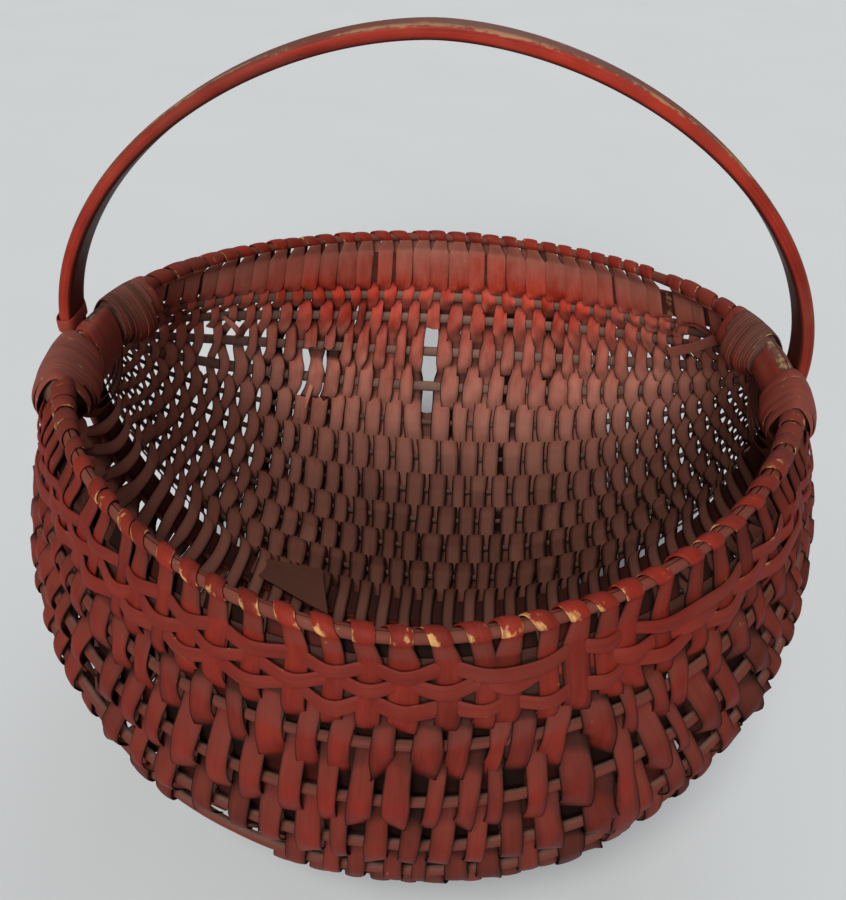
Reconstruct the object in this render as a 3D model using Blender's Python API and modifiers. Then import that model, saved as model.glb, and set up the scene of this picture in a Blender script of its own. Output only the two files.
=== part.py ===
"""Split-oak buttocks basket with a fixed hoop handle.

Metres, +Z up. X runs from ear to ear, -Y is the front and the origin lies on
the ground, midway between the two lobes that the basket stands on.
"""
import math

import bmesh
import bpy
import numpy as np
from mathutils import Vector

# The two hoops
rim_half_length = 0.1865     # rim rod centre at each ear
rim_half_width = 0.195       # rim rod centre over each lobe
rim_dip = 0.014              # how far the rim sinks between the ears
rim_rod_radius = 0.004
handle_rise = 0.1535         # handle centre line above the ears
hoop_width = 0.020           # handle and keel, front to back
hoop_thickness = 0.007
hoop_edge = 0.0013           # worn edge of the hoop
hoop_gap = 0.0004            # between the handle and the rim rod that it crosses

# The body between the ribs
lobe_depth = 0.220           # ear line down to the ribs that the basket stands on
lobe_offset = 0.085          # those ribs, out from the keel
keel_depth = 0.204
swell_angle = math.radians(20)    # how far the wall leans out below the rim
cleft_angle = math.radians(20)    # how steeply each lobe rises to the keel

# Bands, ribs and splints
front_band_drop = 0.0085     # rim down to the wide band of the front lobe
back_band_drop = 0.0145
front_band_width = 0.0235
back_band_width = 0.029
band_thickness = 0.0012
front_rib_drop = 0.0465      # rim down to the first rib of the front lobe
back_rib_drop = 0.056
second_rib_drop = 0.0765
last_rib_gap = 0.034         # from the ribs it stands on to the last rib
rib_radius = 0.0026
rib_tip_radius = 0.0011
splint_width = 0.0125
splint_thickness = 0.0008
lath_thickness = 0.0007
weave_gap = 0.0004           # between a splint and what it passes over
rim_wrap_gap = 0.0009        # between a splint and the rim rod that it turns over
lath_slack = 0.0006          # lets a lath follow the curve of the wall
seat_half_width = 0.003      # flat of a splint under the ribs that it stands on
seat_passes = 2              # passes each side of the middle one with that flat
bottom_rib = 9               # counted from the rim
rib_count = 10               # in each lobe
pass_count = 33              # splints side by side, ear to ear
passes_per_splint = 3
wrap_steps = 4               # bends of a splint over the rim
wrap_angle = math.radians(205)
lath_count = 3               # thin splints over each band

# Where the woven part starts, measured out from the ear
weave_reach = 0.056
rim_weave_reach = 0.050
tip_setback = 0.004          # ribs and bands run on past the weave
fan_radius = 0.030           # ribs spread from a ring of this size at the ear

# Ear lashings
lashing_radius = 0.0018      # cord of the wrapped bundles
lashing_pitch = 0.0044
lashing_loops = 7
lashing_start = 0.015        # first loop, out along the rim
lashing_round_radius = 0.0090    # rounded foot of the bundle, below the rod
lashing_round_drop = 0.0065
lashing_round_offset = 0.0030
lashing_gap = 0.0003
loop_points = 10
lacing_radius = 0.0017       # cord of the arcs that hold the keel
lacing_arcs = 7
lacing_inner = 0.006
lacing_outer = 0.038
lacing_top = 0.0215          # ear line down to the ends of the arcs
lacing_points = 6

# Curve powers and pulls, without a unit
rim_power = 1.85
handle_power = 1.82
body_length_power = 2.1
body_round_power = 2.4
swell_pull_share = 0.45
bottom_pull_share = 0.58
cleft_bottom_pull_share = 0.42
cleft_keel_pull_share = 0.50
lath_width_share = 0.22      # of the band's width where the lath lies
lacing_sag_share = 0.85
rib_swell_share = 1.6        # how soon a rib reaches its full size
ear_blend_shares = (0.0, 0.20, 0.45, 0.70, 1.0)   # band edges, then ribs from the rim
band_fan = (math.radians(10), math.radians(18))
rib_fan = (math.radians(27), math.radians(53))

# Values that follow
hoop_half_length = rim_half_length + rim_rod_radius + hoop_gap + hoop_thickness / 2
splint_over_rib = weave_gap + splint_thickness / 2
lath_over_band = band_thickness / 2 + weave_gap + lath_slack / 2 + lath_thickness / 2
band_inside = band_thickness / 2 + splint_over_rib
keel_side = hoop_thickness / 2 + splint_over_rib
seat_offset = rib_radius + splint_over_rib
ear_height = lobe_depth + seat_offset + splint_thickness / 2
front, back = -1, 1
towards_front = np.array((0.0, -1.0, 0.0))
towards_right = np.array((1.0, 0.0, 0.0))
lobe_drops = {front: (front_rib_drop, front_band_drop, front_band_width),
              back: (back_rib_drop, back_band_drop, back_band_width)}

red = (0.30, 0.035, 0.020)
dark_red = (0.16, 0.022, 0.016)
rib_brown = (0.15, 0.085, 0.055)
worn_red = (0.22, 0.045, 0.030)


def start_scene():
    """Empty the scene and return the collection that holds the basket."""
    for item in list(bpy.data.objects):
        bpy.data.objects.remove(item, do_unlink=True)
    group = bpy.data.collections.new("buttocks_basket")
    bpy.context.scene.collection.children.link(group)
    return group


def painted_wood(name, colour, roughness):
    """One painted or bare wood finish."""
    material = bpy.data.materials.new(name)
    material.use_nodes = True
    shader = material.node_tree.nodes["Principled BSDF"]
    shader.inputs["Base Color"].default_value = (*colour, 1.0)
    shader.inputs["Roughness"].default_value = roughness
    shader.inputs["Metallic"].default_value = 0.0
    return material


def add_ribbon(name, edges, thickness, material, closed=False):
    """A flat strip: pairs of edge points, thickened evenly to both sides."""
    mesh = bmesh.new()
    rows = [(mesh.verts.new(left), mesh.verts.new(right)) for left, right in edges]
    following = rows[1:] + rows[:1] if closed else rows[1:]
    for (left, right), (next_left, next_right) in zip(rows, following):
        mesh.faces.new((left, right, next_right, next_left))
    data = bpy.data.meshes.new(name)
    mesh.to_mesh(data)
    mesh.free()
    item = bpy.data.objects.new(name, data)
    basket.objects.link(item)
    data.materials.append(material)
    solid = item.modifiers.new("thickness", 'SOLIDIFY')
    solid.thickness = thickness
    solid.offset = 0.0
    return item


def add_tube(name, points, radius, material, sides_level, scales=None, closed=False):
    """A round rod along a list of points, with its ends capped."""
    data = bpy.data.curves.new(name, 'CURVE')
    data.dimensions = '3D'
    data.bevel_depth = radius
    data.bevel_resolution = sides_level
    data.use_fill_caps = not closed
    spline = data.splines.new('POLY')
    spline.points.add(len(points) - 1)
    for index, place in enumerate(points):
        spline.points[index].co = (*place, 1.0)
        spline.points[index].radius = scales[index] if scales else 1.0
    spline.use_cyclic_u = closed
    spline.use_smooth = True
    item = bpy.data.objects.new(name, data)
    basket.objects.link(item)
    data.materials.append(material)
    return item


def oval(angle, half_x, half_y, power_x, power_y):
    """A point on a squared-off oval."""
    across = math.copysign(abs(math.cos(angle)) ** (2 / power_x), math.cos(angle))
    along = math.copysign(abs(math.sin(angle)) ** (2 / power_y), math.sin(angle))
    return half_x * across, half_y * along


def bezier(start, pull_start, pull_end, end, share):
    """A point on a cubic curve."""
    rest = 1 - share
    return (start * rest ** 3 + pull_start * 3 * rest ** 2 * share
            + pull_end * 3 * rest * share ** 2 + end * share ** 3)


def middle_section(samples=120):
    """Half of the body's section midway between the ears, rim to keel."""
    rim = np.array((rim_half_width, -rim_dip))
    bottom = np.array((lobe_offset, -lobe_depth))
    keel = np.array((0.0, -keel_depth))
    reach = np.linalg.norm(bottom - rim)
    lean = np.array((math.sin(swell_angle), -math.cos(swell_angle)))
    rise = np.array((math.cos(cleft_angle), -math.sin(cleft_angle)))
    level = np.array((1.0, 0.0))
    wall = [bezier(rim, rim + lean * reach * swell_pull_share,
                   bottom + level * reach * bottom_pull_share, bottom, index / samples)
            for index in range(samples + 1)]
    cleft = [bezier(bottom, bottom - level * lobe_offset * cleft_bottom_pull_share,
                    keel + rise * lobe_offset * cleft_keel_pull_share, keel, index / samples)
             for index in range(1, samples + 1)]
    return np.array(wall + cleft), samples


def lengths_along(points):
    """Distance from the first point to each point of a line."""
    steps = np.linalg.norm(np.diff(points, axis=0), axis=1)
    return np.concatenate(([0.0], np.cumsum(steps)))


def point_at(points, lengths, distance):
    """The point at a distance along a line."""
    return np.array([np.interp(distance, lengths, points[:, axis])
                     for axis in range(points.shape[1])])


def section_places(side):
    """Places of the band edges and ribs on the middle section, from the rim."""
    points, bottom_index = middle_section()
    lengths = lengths_along(points)
    bottom = lengths[bottom_index]
    spacing = (bottom - second_rib_drop) / (bottom_rib - 2)
    first_drop, band_drop, band_width = lobe_drops[side]
    distances = [first_drop] + [second_rib_drop + spacing * index for index in range(bottom_rib - 1)]
    distances += [bottom + last_rib_gap * index for index in range(1, rib_count - bottom_rib + 1)]
    band_places = [point_at(points, lengths, band_drop),
                   point_at(points, lengths, band_drop + band_width)]
    return band_places, [point_at(points, lengths, distance) for distance in distances]


def blend(low, high, share):
    """A value between two others."""
    return low + (high - low) * share


def row_line(middle, fan, share, samples=1200):
    """One row of the back lobe, ear to ear: where a rib or a band edge runs."""
    half_length = blend(rim_half_length, hoop_half_length, share)
    power_x = blend(rim_power, body_length_power, share)
    power_y = blend(rim_power, body_round_power, share)
    line = []
    for index in range(samples + 1):
        angle = math.pi * (1 - index / samples)
        x, fullness = oval(angle, half_length, 1.0, power_x, power_y)
        fullness = max(fullness, 0.0)
        y = middle[0] * fullness + fan_radius * (1 - fullness) * math.cos(fan)
        z = middle[1] * fullness - fan_radius * (1 - fullness) * math.sin(fan)
        line.append((x, y, z))
    return np.array(line)


def plain_line(half_depth, power_y, power_x, half_length, as_keel, samples=1200):
    """The rim over the back lobe, or the keel below the ears."""
    line = []
    for index in range(samples + 1):
        angle = math.pi * (1 - index / samples)
        x, away = oval(angle, half_length, half_depth, power_x, power_y)
        away = max(away, 0.0)
        if as_keel:
            line.append((x, 0.0, -away))
        else:
            line.append((x, away, -rim_dip * (away / half_depth) ** 2))
    return np.array(line)


def row_between(line, reach, setback):
    """Stations and end points of a row whose weave starts at a distance from the ear."""
    away = np.hypot(line[:, 1], line[:, 2])
    woven = line[away >= reach]
    lengths = lengths_along(woven)
    stations = np.array([point_at(woven, lengths, lengths[-1] * share) for share in station_shares])
    tips = line[away >= reach - setback]
    return {"stations": stations, "first": tips[0], "last": tips[-1]}


def lobe_rows(side):
    """Rows of the band's edges and of the ribs of one lobe, from the rim to the keel."""
    band_places, rib_places = section_places(side)
    band = [row_between(row_line(place, fan, share), weave_reach, tip_setback)
            for place, fan, share in zip(band_places, band_fan, ear_blend_shares)]
    ribs = []
    for index, place in enumerate(rib_places):
        fan = blend(*rib_fan, index / (rib_count - 1))
        ribs.append(row_between(row_line(place, fan, rib_blends[index]), weave_reach, tip_setback))
    return band, ribs


def on_row(row, share):
    """A point on a row, at a share of the way through the weave."""
    return np.array([np.interp(share, station_shares, row["stations"][:, axis]) for axis in range(3)])


def row_direction(row, share):
    """The direction of a row towards +X."""
    near = station_step_share / 2
    step = on_row(row, share + near) - on_row(row, share - near)
    return step / np.linalg.norm(step)


def pass_share(index):
    """Where a pass of the weave lies between the two ears."""
    return (index + 0.5) / pass_count


def mirrored(place, side):
    """A place in the back lobe, or its twin in the front lobe."""
    return np.array((place[0], place[1] * side, place[2] + ear_height))


def turned(direction, side):
    """A direction in the back lobe, or its twin in the front lobe."""
    return np.array((direction[0], direction[1] * side, direction[2]))


def outward(row, other, share):
    """The direction out of the basket on a row, given the row nearer the keel."""
    along = row_direction(row, share)
    across = on_row(other, share) - on_row(row, share)
    normal = np.cross(along, across)
    return normal / np.linalg.norm(normal)


def station_list():
    """Shares at which rows bend, all at gaps between passes, closer near the ears."""
    middle = pass_count // 2
    left = [0]
    while left[-1] < middle:
        step = 2 if left[-1] < middle // 2 else 3
        left.append(min(left[-1] + step, middle))
    right = [pass_count - index for index in reversed(left)]
    return [index / pass_count for index in left + right]


def rib_scale(share):
    """Ribs are whittled thinner towards the ears."""
    tip = rib_tip_radius / rib_radius
    return tip + (1 - tip) * min(1.0, math.sin(math.pi * share) * rib_swell_share)


def crossing_height(radius, spacing):
    """How far a splint stands off a rib's centre so that its slopes clear the rib."""
    clear = radius + splint_over_rib
    return clear / math.sqrt(1 - min(0.9, (2 * clear / spacing) ** 2))


def lath_rise(upper, share):
    """Half the sway of a lath between the weavers that it goes over and under."""
    inward = 1 / pass_count if share < 0.5 else -1 / pass_count
    spread = 2 * np.linalg.norm(on_row(upper, share + inward) - on_row(upper, share))
    stack = splint_thickness / 2 + weave_gap + lath_thickness / 2 + lath_slack
    return stack / (1 - splint_width / spread)


def half_pass(index, side):
    """Centre and width direction of a pass, from the keel's edge to the band."""
    share = pass_share(index)
    outside_first = index % 2 == 0
    line = []
    keel_sign = 1 if (keel_order % 2 == 0) == outside_first else -1
    along = row_direction(keel_row, share)
    normal = np.cross(along, towards_front)
    place = on_row(keel_row, share) + normal * keel_side * keel_sign
    place[1] = hoop_width / 2 + splint_over_rib
    line.append((mirrored(place, side), along))
    band, ribs = rows_of[side]
    for order in range(rib_count, 0, -1):
        row = ribs[order - 1]
        inner = ribs[order] if order < rib_count else keel_row
        outer = ribs[order - 2] if order > 1 else band[1]
        spacing = min(np.linalg.norm(on_row(row, share) - on_row(inner, share)),
                      np.linalg.norm(on_row(row, share) - on_row(outer, share)))
        sign = 1 if (order % 2 == 0) == outside_first else -1
        along = row_direction(row, share)
        if order == bottom_rib and sign == 1 and abs(index - pass_count // 2) <= seat_passes:
            for shift in (-seat_half_width, seat_half_width):
                place = np.array((on_row(row, share)[0], lobe_offset + shift, -lobe_depth - seat_offset))
                line.append((mirrored(place, side), towards_right))
            continue
        normal = outward(outer, inner, share)
        height = crossing_height(rib_radius * rib_scale(share), spacing)
        line.append((mirrored(on_row(row, share) + normal * height * sign, side), turned(along, side)))
    stand = lath_over_band + lath_rise(band[0], share) if outside_first else -band_inside
    normal = outward(*band, share)
    for row in reversed(band):
        along = row_direction(row, share)
        line.append((mirrored(on_row(row, share) + normal * stand, side), turned(along, side)))
    return line


def rim_frame(share):
    """Rim rod centre, outward direction and length direction at a share."""
    along = row_direction(rim_row, share)
    out = np.array((-along[1], along[0], 0.0))
    return on_row(rim_row, share), out / np.linalg.norm(out), along


def rim_wrap(share_outside, share_inside, side):
    """Centres of a splint over the rim, from the outside to below the inside."""
    ring = (rim_rod_radius + rim_wrap_gap + splint_thickness / 2) / math.cos(wrap_angle / (2 * wrap_steps))
    line = []
    for step in range(wrap_steps + 1):
        turn = wrap_angle * step / wrap_steps
        share = blend(share_outside, share_inside, step / wrap_steps)
        centre, out, along = rim_frame(share)
        place = centre + out * ring * math.cos(turn) + np.array((0.0, 0.0, ring * math.sin(turn)))
        line.append((mirrored(place, side), turned(along, side)))
    return line


def splint_line(first, last):
    """A weaver from pass to pass, over the rim at each turn."""
    line = []
    if first == 0:
        line += reversed(rim_wrap(pass_share(0), pass_share(0), front))
    for index in range(first, last + 1):
        leaving = back if index % 2 == 0 else front
        line += reversed(half_pass(index, -leaving))
        line += half_pass(index, leaving)
        following = min(index + 1, pass_count - 1)
        outer, inner = (index, following) if index % 2 == 0 else (following, index)
        wrap = rim_wrap(pass_share(outer), pass_share(inner), leaving)
        line += wrap if index % 2 == 0 else reversed(wrap)
    return line


def ribbon_edges(line, width):
    """Edge pairs of a strip from its centres and width directions."""
    return [(Vector(centre - along * width / 2), Vector(centre + along * width / 2))
            for centre, along in line]


def make_splints(material):
    """The weavers, each running up and down the basket several times."""
    for number, first in enumerate(range(0, pass_count, passes_per_splint), start=1):
        last = min(first + passes_per_splint, pass_count) - 1
        edges = ribbon_edges(splint_line(first, last), splint_width)
        add_ribbon(f"weaver_splint_{number:02d}", edges, splint_thickness, material)


def make_ribs(material):
    """Round ribs, thinner at both ends, ten to a lobe."""
    for side, label in ((front, "front"), (back, "back")):
        for number, row in enumerate(rows_of[side][1], start=1):
            places = [row["first"], *row["stations"], row["last"]]
            shares = [0.0, *station_shares, 1.0]
            add_tube(f"rib_{label}_{number:02d}", [mirrored(place, side) for place in places],
                     rib_radius, material, 1, scales=[rib_scale(share) for share in shares])


def make_bands(material):
    """The wide splint below the rim of each lobe."""
    for side, label in ((front, "front"), (back, "back")):
        upper, lower = rows_of[side][0]
        highs = [upper["first"], *upper["stations"], upper["last"]]
        lows = [lower["first"], *lower["stations"], lower["last"]]
        edges = [(Vector(mirrored(high, side)), Vector(mirrored(low, side)))
                 for high, low in zip(highs, lows)]
        add_ribbon(f"wide_band_{label}", edges, band_thickness, material)


def lath_place(share, level_share, sway, side):
    """Edge points of a lath where it lies over a band."""
    upper, lower = rows_of[side][0]
    high = on_row(upper, share)
    low = on_row(lower, share)
    stand = lath_over_band + lath_rise(upper, share) * (1 + sway)
    centre = blend(high, low, level_share) + outward(upper, lower, share) * stand
    half = (low - high) * lath_width_share / 2
    return Vector(mirrored(centre - half, side)), Vector(mirrored(centre + half, side))


def lath_line(level_share, over_first, side):
    """A thin lath over and under the splints that cross the band's outside."""
    crossings = range(0, pass_count, 2)
    sways = [1 if (order % 2 == 0) == over_first else -1 for order in range(len(crossings))]
    line = [lath_place(0.0, level_share, sways[0], side)]
    for index, sway in zip(crossings, sways):
        line.append(lath_place(pass_share(index), level_share, sway, side))
    return line + [lath_place(1.0, level_share, sways[-1], side)]


def make_laths(material):
    """Thin splints that lie over the bands, in and out of the weavers."""
    for side, label in ((front, "front"), (back, "back")):
        for number in range(lath_count):
            level_share = (number + 0.5) / lath_count
            add_ribbon(f"thin_splint_{label}_{number + 1}", lath_line(level_share, number % 2 == 0, side),
                       lath_thickness, material)


def keel_end_points(samples=4):
    """Keel points between the ear and the first pass, on the left."""
    first = keel_row["stations"][0]
    line = keel_curve[(keel_curve[:, 0] < 0) & (keel_curve[:, 2] > first[2])]
    lengths = lengths_along(line)
    return [point_at(line, lengths, lengths[-1] * index / samples) for index in range(samples)]


def make_handle_hoop(material, arc_points=26):
    """One bent hoop: the handle above the ears and the keel below them."""
    left = keel_end_points()
    right = [np.array((-place[0], place[1], place[2])) for place in reversed(left)]
    path = left + list(keel_row["stations"]) + right
    for index in range(1, arc_points):
        x, z = oval(math.pi * index / arc_points, hoop_half_length, handle_rise, handle_power, handle_power)
        path.append(np.array((x, 0.0, z)))
    half = np.array((0.0, hoop_width / 2, 0.0))
    edges = [(Vector(mirrored(place, back) + half), Vector(mirrored(place, back) - half)) for place in path]
    hoop = add_ribbon("handle_hoop", edges, hoop_thickness, material, closed=True)
    edge = hoop.modifiers.new("worn edges", 'BEVEL')
    edge.width = hoop_edge
    edge.segments = 1
    edge.limit_method = 'ANGLE'
    edge.angle_limit = math.radians(60)


def rim_ear_points(samples=4):
    """Rim rod centre from the left ear towards the back, up to the weave."""
    away = np.hypot(rim_curve[:, 1], rim_curve[:, 2])
    ear = rim_curve[(rim_curve[:, 0] < 0) & (away < rim_weave_reach)]
    lengths = lengths_along(ear)
    return [point_at(ear, lengths, lengths[-1] * index / samples) for index in range(samples)]


def rim_outline():
    """Rim rod centre all round, with its points at the gaps of the weave."""
    left = rim_ear_points()
    right = [np.array((-place[0], place[1], place[2])) for place in reversed(left)]
    lobe = left + list(rim_row["stations"]) + right
    behind = [mirrored(place, back) for place in lobe]
    before = [mirrored(place, front) for place in reversed(lobe[1:-1])]
    return behind + before


def make_rim_hoop(material):
    """The rim rod, which the handle hoop crosses at the ears."""
    add_tube("rim_hoop", rim_outline(), rim_rod_radius, material, 2, closed=True)


def straight_ends(points, run):
    """Run both ends of a wound cord straight for one diameter."""
    first = points[0] + (points[0] - points[1]) / np.linalg.norm(points[0] - points[1]) * run
    last = points[-1] + (points[-1] - points[-2]) / np.linalg.norm(points[-1] - points[-2]) * run
    return [first, *points, last]


def report_gap(name, points, diameter, skip):
    """Print the least gap between a cord's turns, measured on its points."""
    places = np.array(points)
    least = math.inf
    for index in range(len(places) - skip):
        away = np.linalg.norm(places[index + skip:] - places[index], axis=1)
        least = min(least, away.min())
    print(f"{name}: least gap to itself {(least - diameter) * 1000:.2f} mm")


def belt_place(turn, rod_reach, round_reach):
    """A point of a belt drawn round the rim rod and the rounded foot of the bundle."""
    facing = np.array((math.cos(turn), math.sin(turn)))
    foot = np.array((lashing_round_offset, -lashing_round_drop))
    on_rod = facing * rod_reach
    on_foot = foot + facing * round_reach
    return on_rod if on_rod @ facing > on_foot @ facing else on_foot


def lashing_line(end, side):
    """A cord wound round the rim rod beside the handle."""
    line = np.array([*rim_ear_points(), *rim_row["stations"][:3]])
    lengths = lengths_along(line)
    rod_reach = (rim_rod_radius + lashing_gap + lashing_radius) / math.cos(math.pi / loop_points)
    points = []
    for index in range(lashing_loops * loop_points + 1):
        distance = lashing_start + lashing_pitch * index / loop_points
        centre = point_at(line, lengths, distance)
        ahead = point_at(line, lengths, distance + lashing_pitch)
        step = ahead - point_at(line, lengths, distance - lashing_pitch)
        out = np.array((-step[1], step[0], 0.0)) / np.hypot(step[0], step[1])
        aside, up = belt_place(2 * math.pi * index / loop_points, rod_reach, lashing_round_radius)
        place = centre + out * aside
        points.append(mirrored((place[0] * -end, place[1], place[2] + up), side))
    return straight_ends(points, 2 * lashing_radius)


def make_lashings(material):
    """Wrapped bundles on the rim, one each side of the handle at each ear."""
    for end, place in ((-1, "left"), (1, "right")):
        for side, label in ((front, "front"), (back, "back")):
            name = f"ear_lashing_{place}_{label}"
            points = lashing_line(end, side)
            report_gap(name, points, 2 * lashing_radius, loop_points // 2)
            add_tube(name, points, lashing_radius, material, 1)


def lacing_line(end):
    """A cord laid to and fro in arcs against the inside of the keel."""
    points = []
    pitch = (lacing_outer - lacing_inner) / (lacing_arcs - 1)
    stand = hoop_thickness / 2 + hoop_gap + lacing_radius
    below = keel_curve[keel_curve[:, 0] < 0]
    for arc in range(lacing_arcs):
        reach = lacing_inner + pitch * arc
        order = range(lacing_points + 1)
        for index in (order if arc % 2 == 0 else reversed(order)):
            angle = math.pi * index / lacing_points
            y = reach * math.cos(angle)
            z = -lacing_top - reach * lacing_sag_share * math.sin(angle)
            x = np.interp(-z, -below[:, 2], below[:, 0]) + stand
            points.append(mirrored((x * -end, y, z), back))
    return straight_ends(points, 2 * lacing_radius)


def make_lacings(material):
    """Nested arcs below each ear."""
    for end, place in ((-1, "left"), (1, "right")):
        name = f"ear_lacing_{place}"
        points = lacing_line(end)
        report_gap(name, points, 2 * lacing_radius, lacing_points)
        add_tube(name, points, lacing_radius, material, 1)


basket = start_scene()
keel_order = rib_count + 1
station_shares = station_list()
station_step_share = 0.1 / pass_count
rib_blends = [*ear_blend_shares[2:], *([1.0] * rib_count)][:rib_count]
rim_curve = plain_line(rim_half_width, rim_power, rim_power, rim_half_length, False)
keel_curve = plain_line(keel_depth, body_round_power, body_length_power, hoop_half_length, True)
rim_row = row_between(rim_curve, rim_weave_reach, 0.0)
keel_row = row_between(keel_curve, weave_reach, 0.0)
rows_of = {side: lobe_rows(side) for side in (front, back)}

make_rim_hoop(painted_wood("rim_wood", red, 0.55))
make_handle_hoop(painted_wood("handle_wood", red, 0.45))
make_bands(painted_wood("band_wood", dark_red, 0.6))
make_ribs(painted_wood("rib_wood", rib_brown, 0.7))
make_splints(painted_wood("splint_wood", red, 0.55))
make_laths(painted_wood("lath_wood", dark_red, 0.6))
make_lashings(painted_wood("lashing_splint", worn_red, 0.6))
make_lacings(painted_wood("lacing_splint", worn_red, 0.6))
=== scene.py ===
"""Looks for the buttocks basket: hand-split, woven and painted oak, old and worn."""
import math

import bpy
import mathutils
import numpy as np
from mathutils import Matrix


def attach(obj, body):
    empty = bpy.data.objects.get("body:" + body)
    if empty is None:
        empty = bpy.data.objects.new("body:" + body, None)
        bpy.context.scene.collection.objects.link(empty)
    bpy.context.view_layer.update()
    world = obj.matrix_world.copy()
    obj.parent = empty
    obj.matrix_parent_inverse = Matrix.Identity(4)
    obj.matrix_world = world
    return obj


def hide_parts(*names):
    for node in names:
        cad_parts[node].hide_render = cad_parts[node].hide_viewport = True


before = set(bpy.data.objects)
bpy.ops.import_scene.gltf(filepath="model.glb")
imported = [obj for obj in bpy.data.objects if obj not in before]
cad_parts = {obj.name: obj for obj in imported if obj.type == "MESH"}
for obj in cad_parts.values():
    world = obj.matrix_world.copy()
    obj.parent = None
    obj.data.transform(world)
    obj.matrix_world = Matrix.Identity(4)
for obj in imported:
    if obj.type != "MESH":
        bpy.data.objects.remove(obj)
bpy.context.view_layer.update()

rng = np.random.default_rng(12)

# sizes shared with the solids, in metres
rim_half_length, rim_half_width, rim_dip, rim_rod_radius = 0.1865, 0.195, 0.014, 0.004
handle_rise, hoop_width, hoop_thickness, hoop_gap = 0.1535, 0.020, 0.007, 0.0004
lobe_depth, lobe_offset, keel_depth = 0.220, 0.085, 0.204
swell_angle, cleft_angle = math.radians(20), math.radians(20)
band_thickness, second_rib_drop, last_rib_gap = 0.0012, 0.0765, 0.034
rib_radius, rib_tip_radius, splint_thickness = 0.0026, 0.0011, 0.0008
bottom_rib, rib_count = 9, 10
weave_reach, rim_weave_reach, fan_radius = 0.056, 0.050, 0.030
rim_power, handle_power, body_length_power, body_round_power = 1.85, 1.82, 2.1, 2.4
pull_shares = (0.45, 0.58, 0.42, 0.50)
ear_blend_shares = (0.0, 0.20, 0.45, 0.70, 1.0)
band_fan = (math.radians(10), math.radians(18))
rib_fan = (math.radians(27), math.radians(53))
front, back = -1, 1
lobe_drops = {front: (0.0465, 0.0085, 0.0235), back: (0.056, 0.0145, 0.029)}
hoop_half_length = rim_half_length + rim_rod_radius + hoop_gap + hoop_thickness / 2
ear_height = lobe_depth + rib_radius + 0.0004 + splint_thickness
pass_count = 72
pass_pitch = 1 / pass_count


def oval(angle, half_x, half_y, power_x, power_y):
    c, s = np.cos(angle), np.sin(angle)
    return (half_x * np.sign(c) * np.abs(c) ** (2 / power_x),
            half_y * np.sign(s) * np.abs(s) ** (2 / power_y))


def bezier(points, count):
    t = np.linspace(0, 1, count)[:, None]
    a, b, c, d = points
    return a * (1 - t) ** 3 + b * 3 * (1 - t) ** 2 * t + c * 3 * (1 - t) * t * t + d * t ** 3


def unit(v):
    return v / np.maximum(np.linalg.norm(v, axis=-1, keepdims=True), 1e-12)


def lengths(points):
    return np.r_[0, np.cumsum(np.linalg.norm(np.diff(points, axis=0), axis=1))]


def sample(points, where, stations):
    return np.stack([np.interp(where, stations, points[:, k]) for k in range(points.shape[1])], -1)


def ramp(value, start, run):
    """0 at the start and 1 after the run, which may be negative."""
    return np.clip((value - start) / run, 0, 1)


wall_points, cleft_points, line_points = 200, 120, 1600


def section():
    """The middle section of a lobe, from the rim down the wall and up the cleft to the keel."""
    rim = np.array((rim_half_width, -rim_dip))
    bottom = np.array((lobe_offset, -lobe_depth))
    keel = np.array((0.0, -keel_depth))
    reach = np.linalg.norm(bottom - rim)
    lean = np.array((math.sin(swell_angle), -math.cos(swell_angle))) * reach
    rise = np.array((math.cos(cleft_angle), -math.sin(cleft_angle))) * lobe_offset
    level = np.array((1.0, 0.0))
    wall = (rim, rim + lean * pull_shares[0], bottom + level * reach * pull_shares[1], bottom)
    cleft = (bottom, bottom - level * lobe_offset * pull_shares[2], keel + rise * pull_shares[3], keel)
    return np.vstack([bezier(wall, wall_points), bezier(cleft, cleft_points)[1:]]), wall_points - 1


class Row:
    """A line from the left ear to the right ear, read by its share of the woven length."""

    def __init__(self, line, reach):
        self.full = line
        self.points = line[np.hypot(line[:, 1], line[:, 2]) >= reach]
        at = lengths(self.points)
        self.length = at[-1]
        self.shares = at / self.length

    def at(self, share):
        share = np.asarray(share, float)[..., None]
        p, s = self.points, self.shares
        woven = sample(p, np.clip(share[..., 0], 0, 1), s)
        # past either end it runs straight on, the way its last eight steps go
        low = p[0] + (p[8] - p[0]) / s[8] * share
        high = p[-1] + (p[-1] - p[-9]) / (1 - s[-9]) * (share - 1)
        return np.where(share < 0, low, np.where(share > 1, high, woven))

    def along(self, share):
        return unit(self.at(np.asarray(share) + 0.004) - self.at(np.asarray(share) - 0.004))


left_to_right = np.pi * (1 - np.linspace(0, 1, line_points))


def body_line(middle, fan, share):
    """A row through a point of the middle section, which fans out of the ear at its own angle.
    share: how far it is from the shape of the rim, 0, to the shape of the keel, 1."""
    half_length = rim_half_length + (hoop_half_length - rim_half_length) * share
    px = rim_power + (body_length_power - rim_power) * share
    py = rim_power + (body_round_power - rim_power) * share
    x, full = oval(left_to_right, half_length, 1.0, px, py)
    full = np.maximum(full, 0)
    y = middle[0] * full + fan_radius * (1 - full) * math.cos(fan)
    z = middle[1] * full - fan_radius * (1 - full) * math.sin(fan)
    return np.stack([x, y, z], 1)


x, away = oval(left_to_right, rim_half_length, rim_half_width, rim_power, rim_power)
away = np.maximum(away, 0)
rim_line = np.stack([x, away, -rim_dip * (away / rim_half_width) ** 2], 1)
x, away = oval(left_to_right, hoop_half_length, keel_depth, body_length_power, body_round_power)
keel_line = np.stack([x, 0 * x, -np.maximum(away, 0)], 1)
rim_row, keel_row = Row(rim_line, rim_weave_reach), Row(keel_line, weave_reach)

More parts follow.
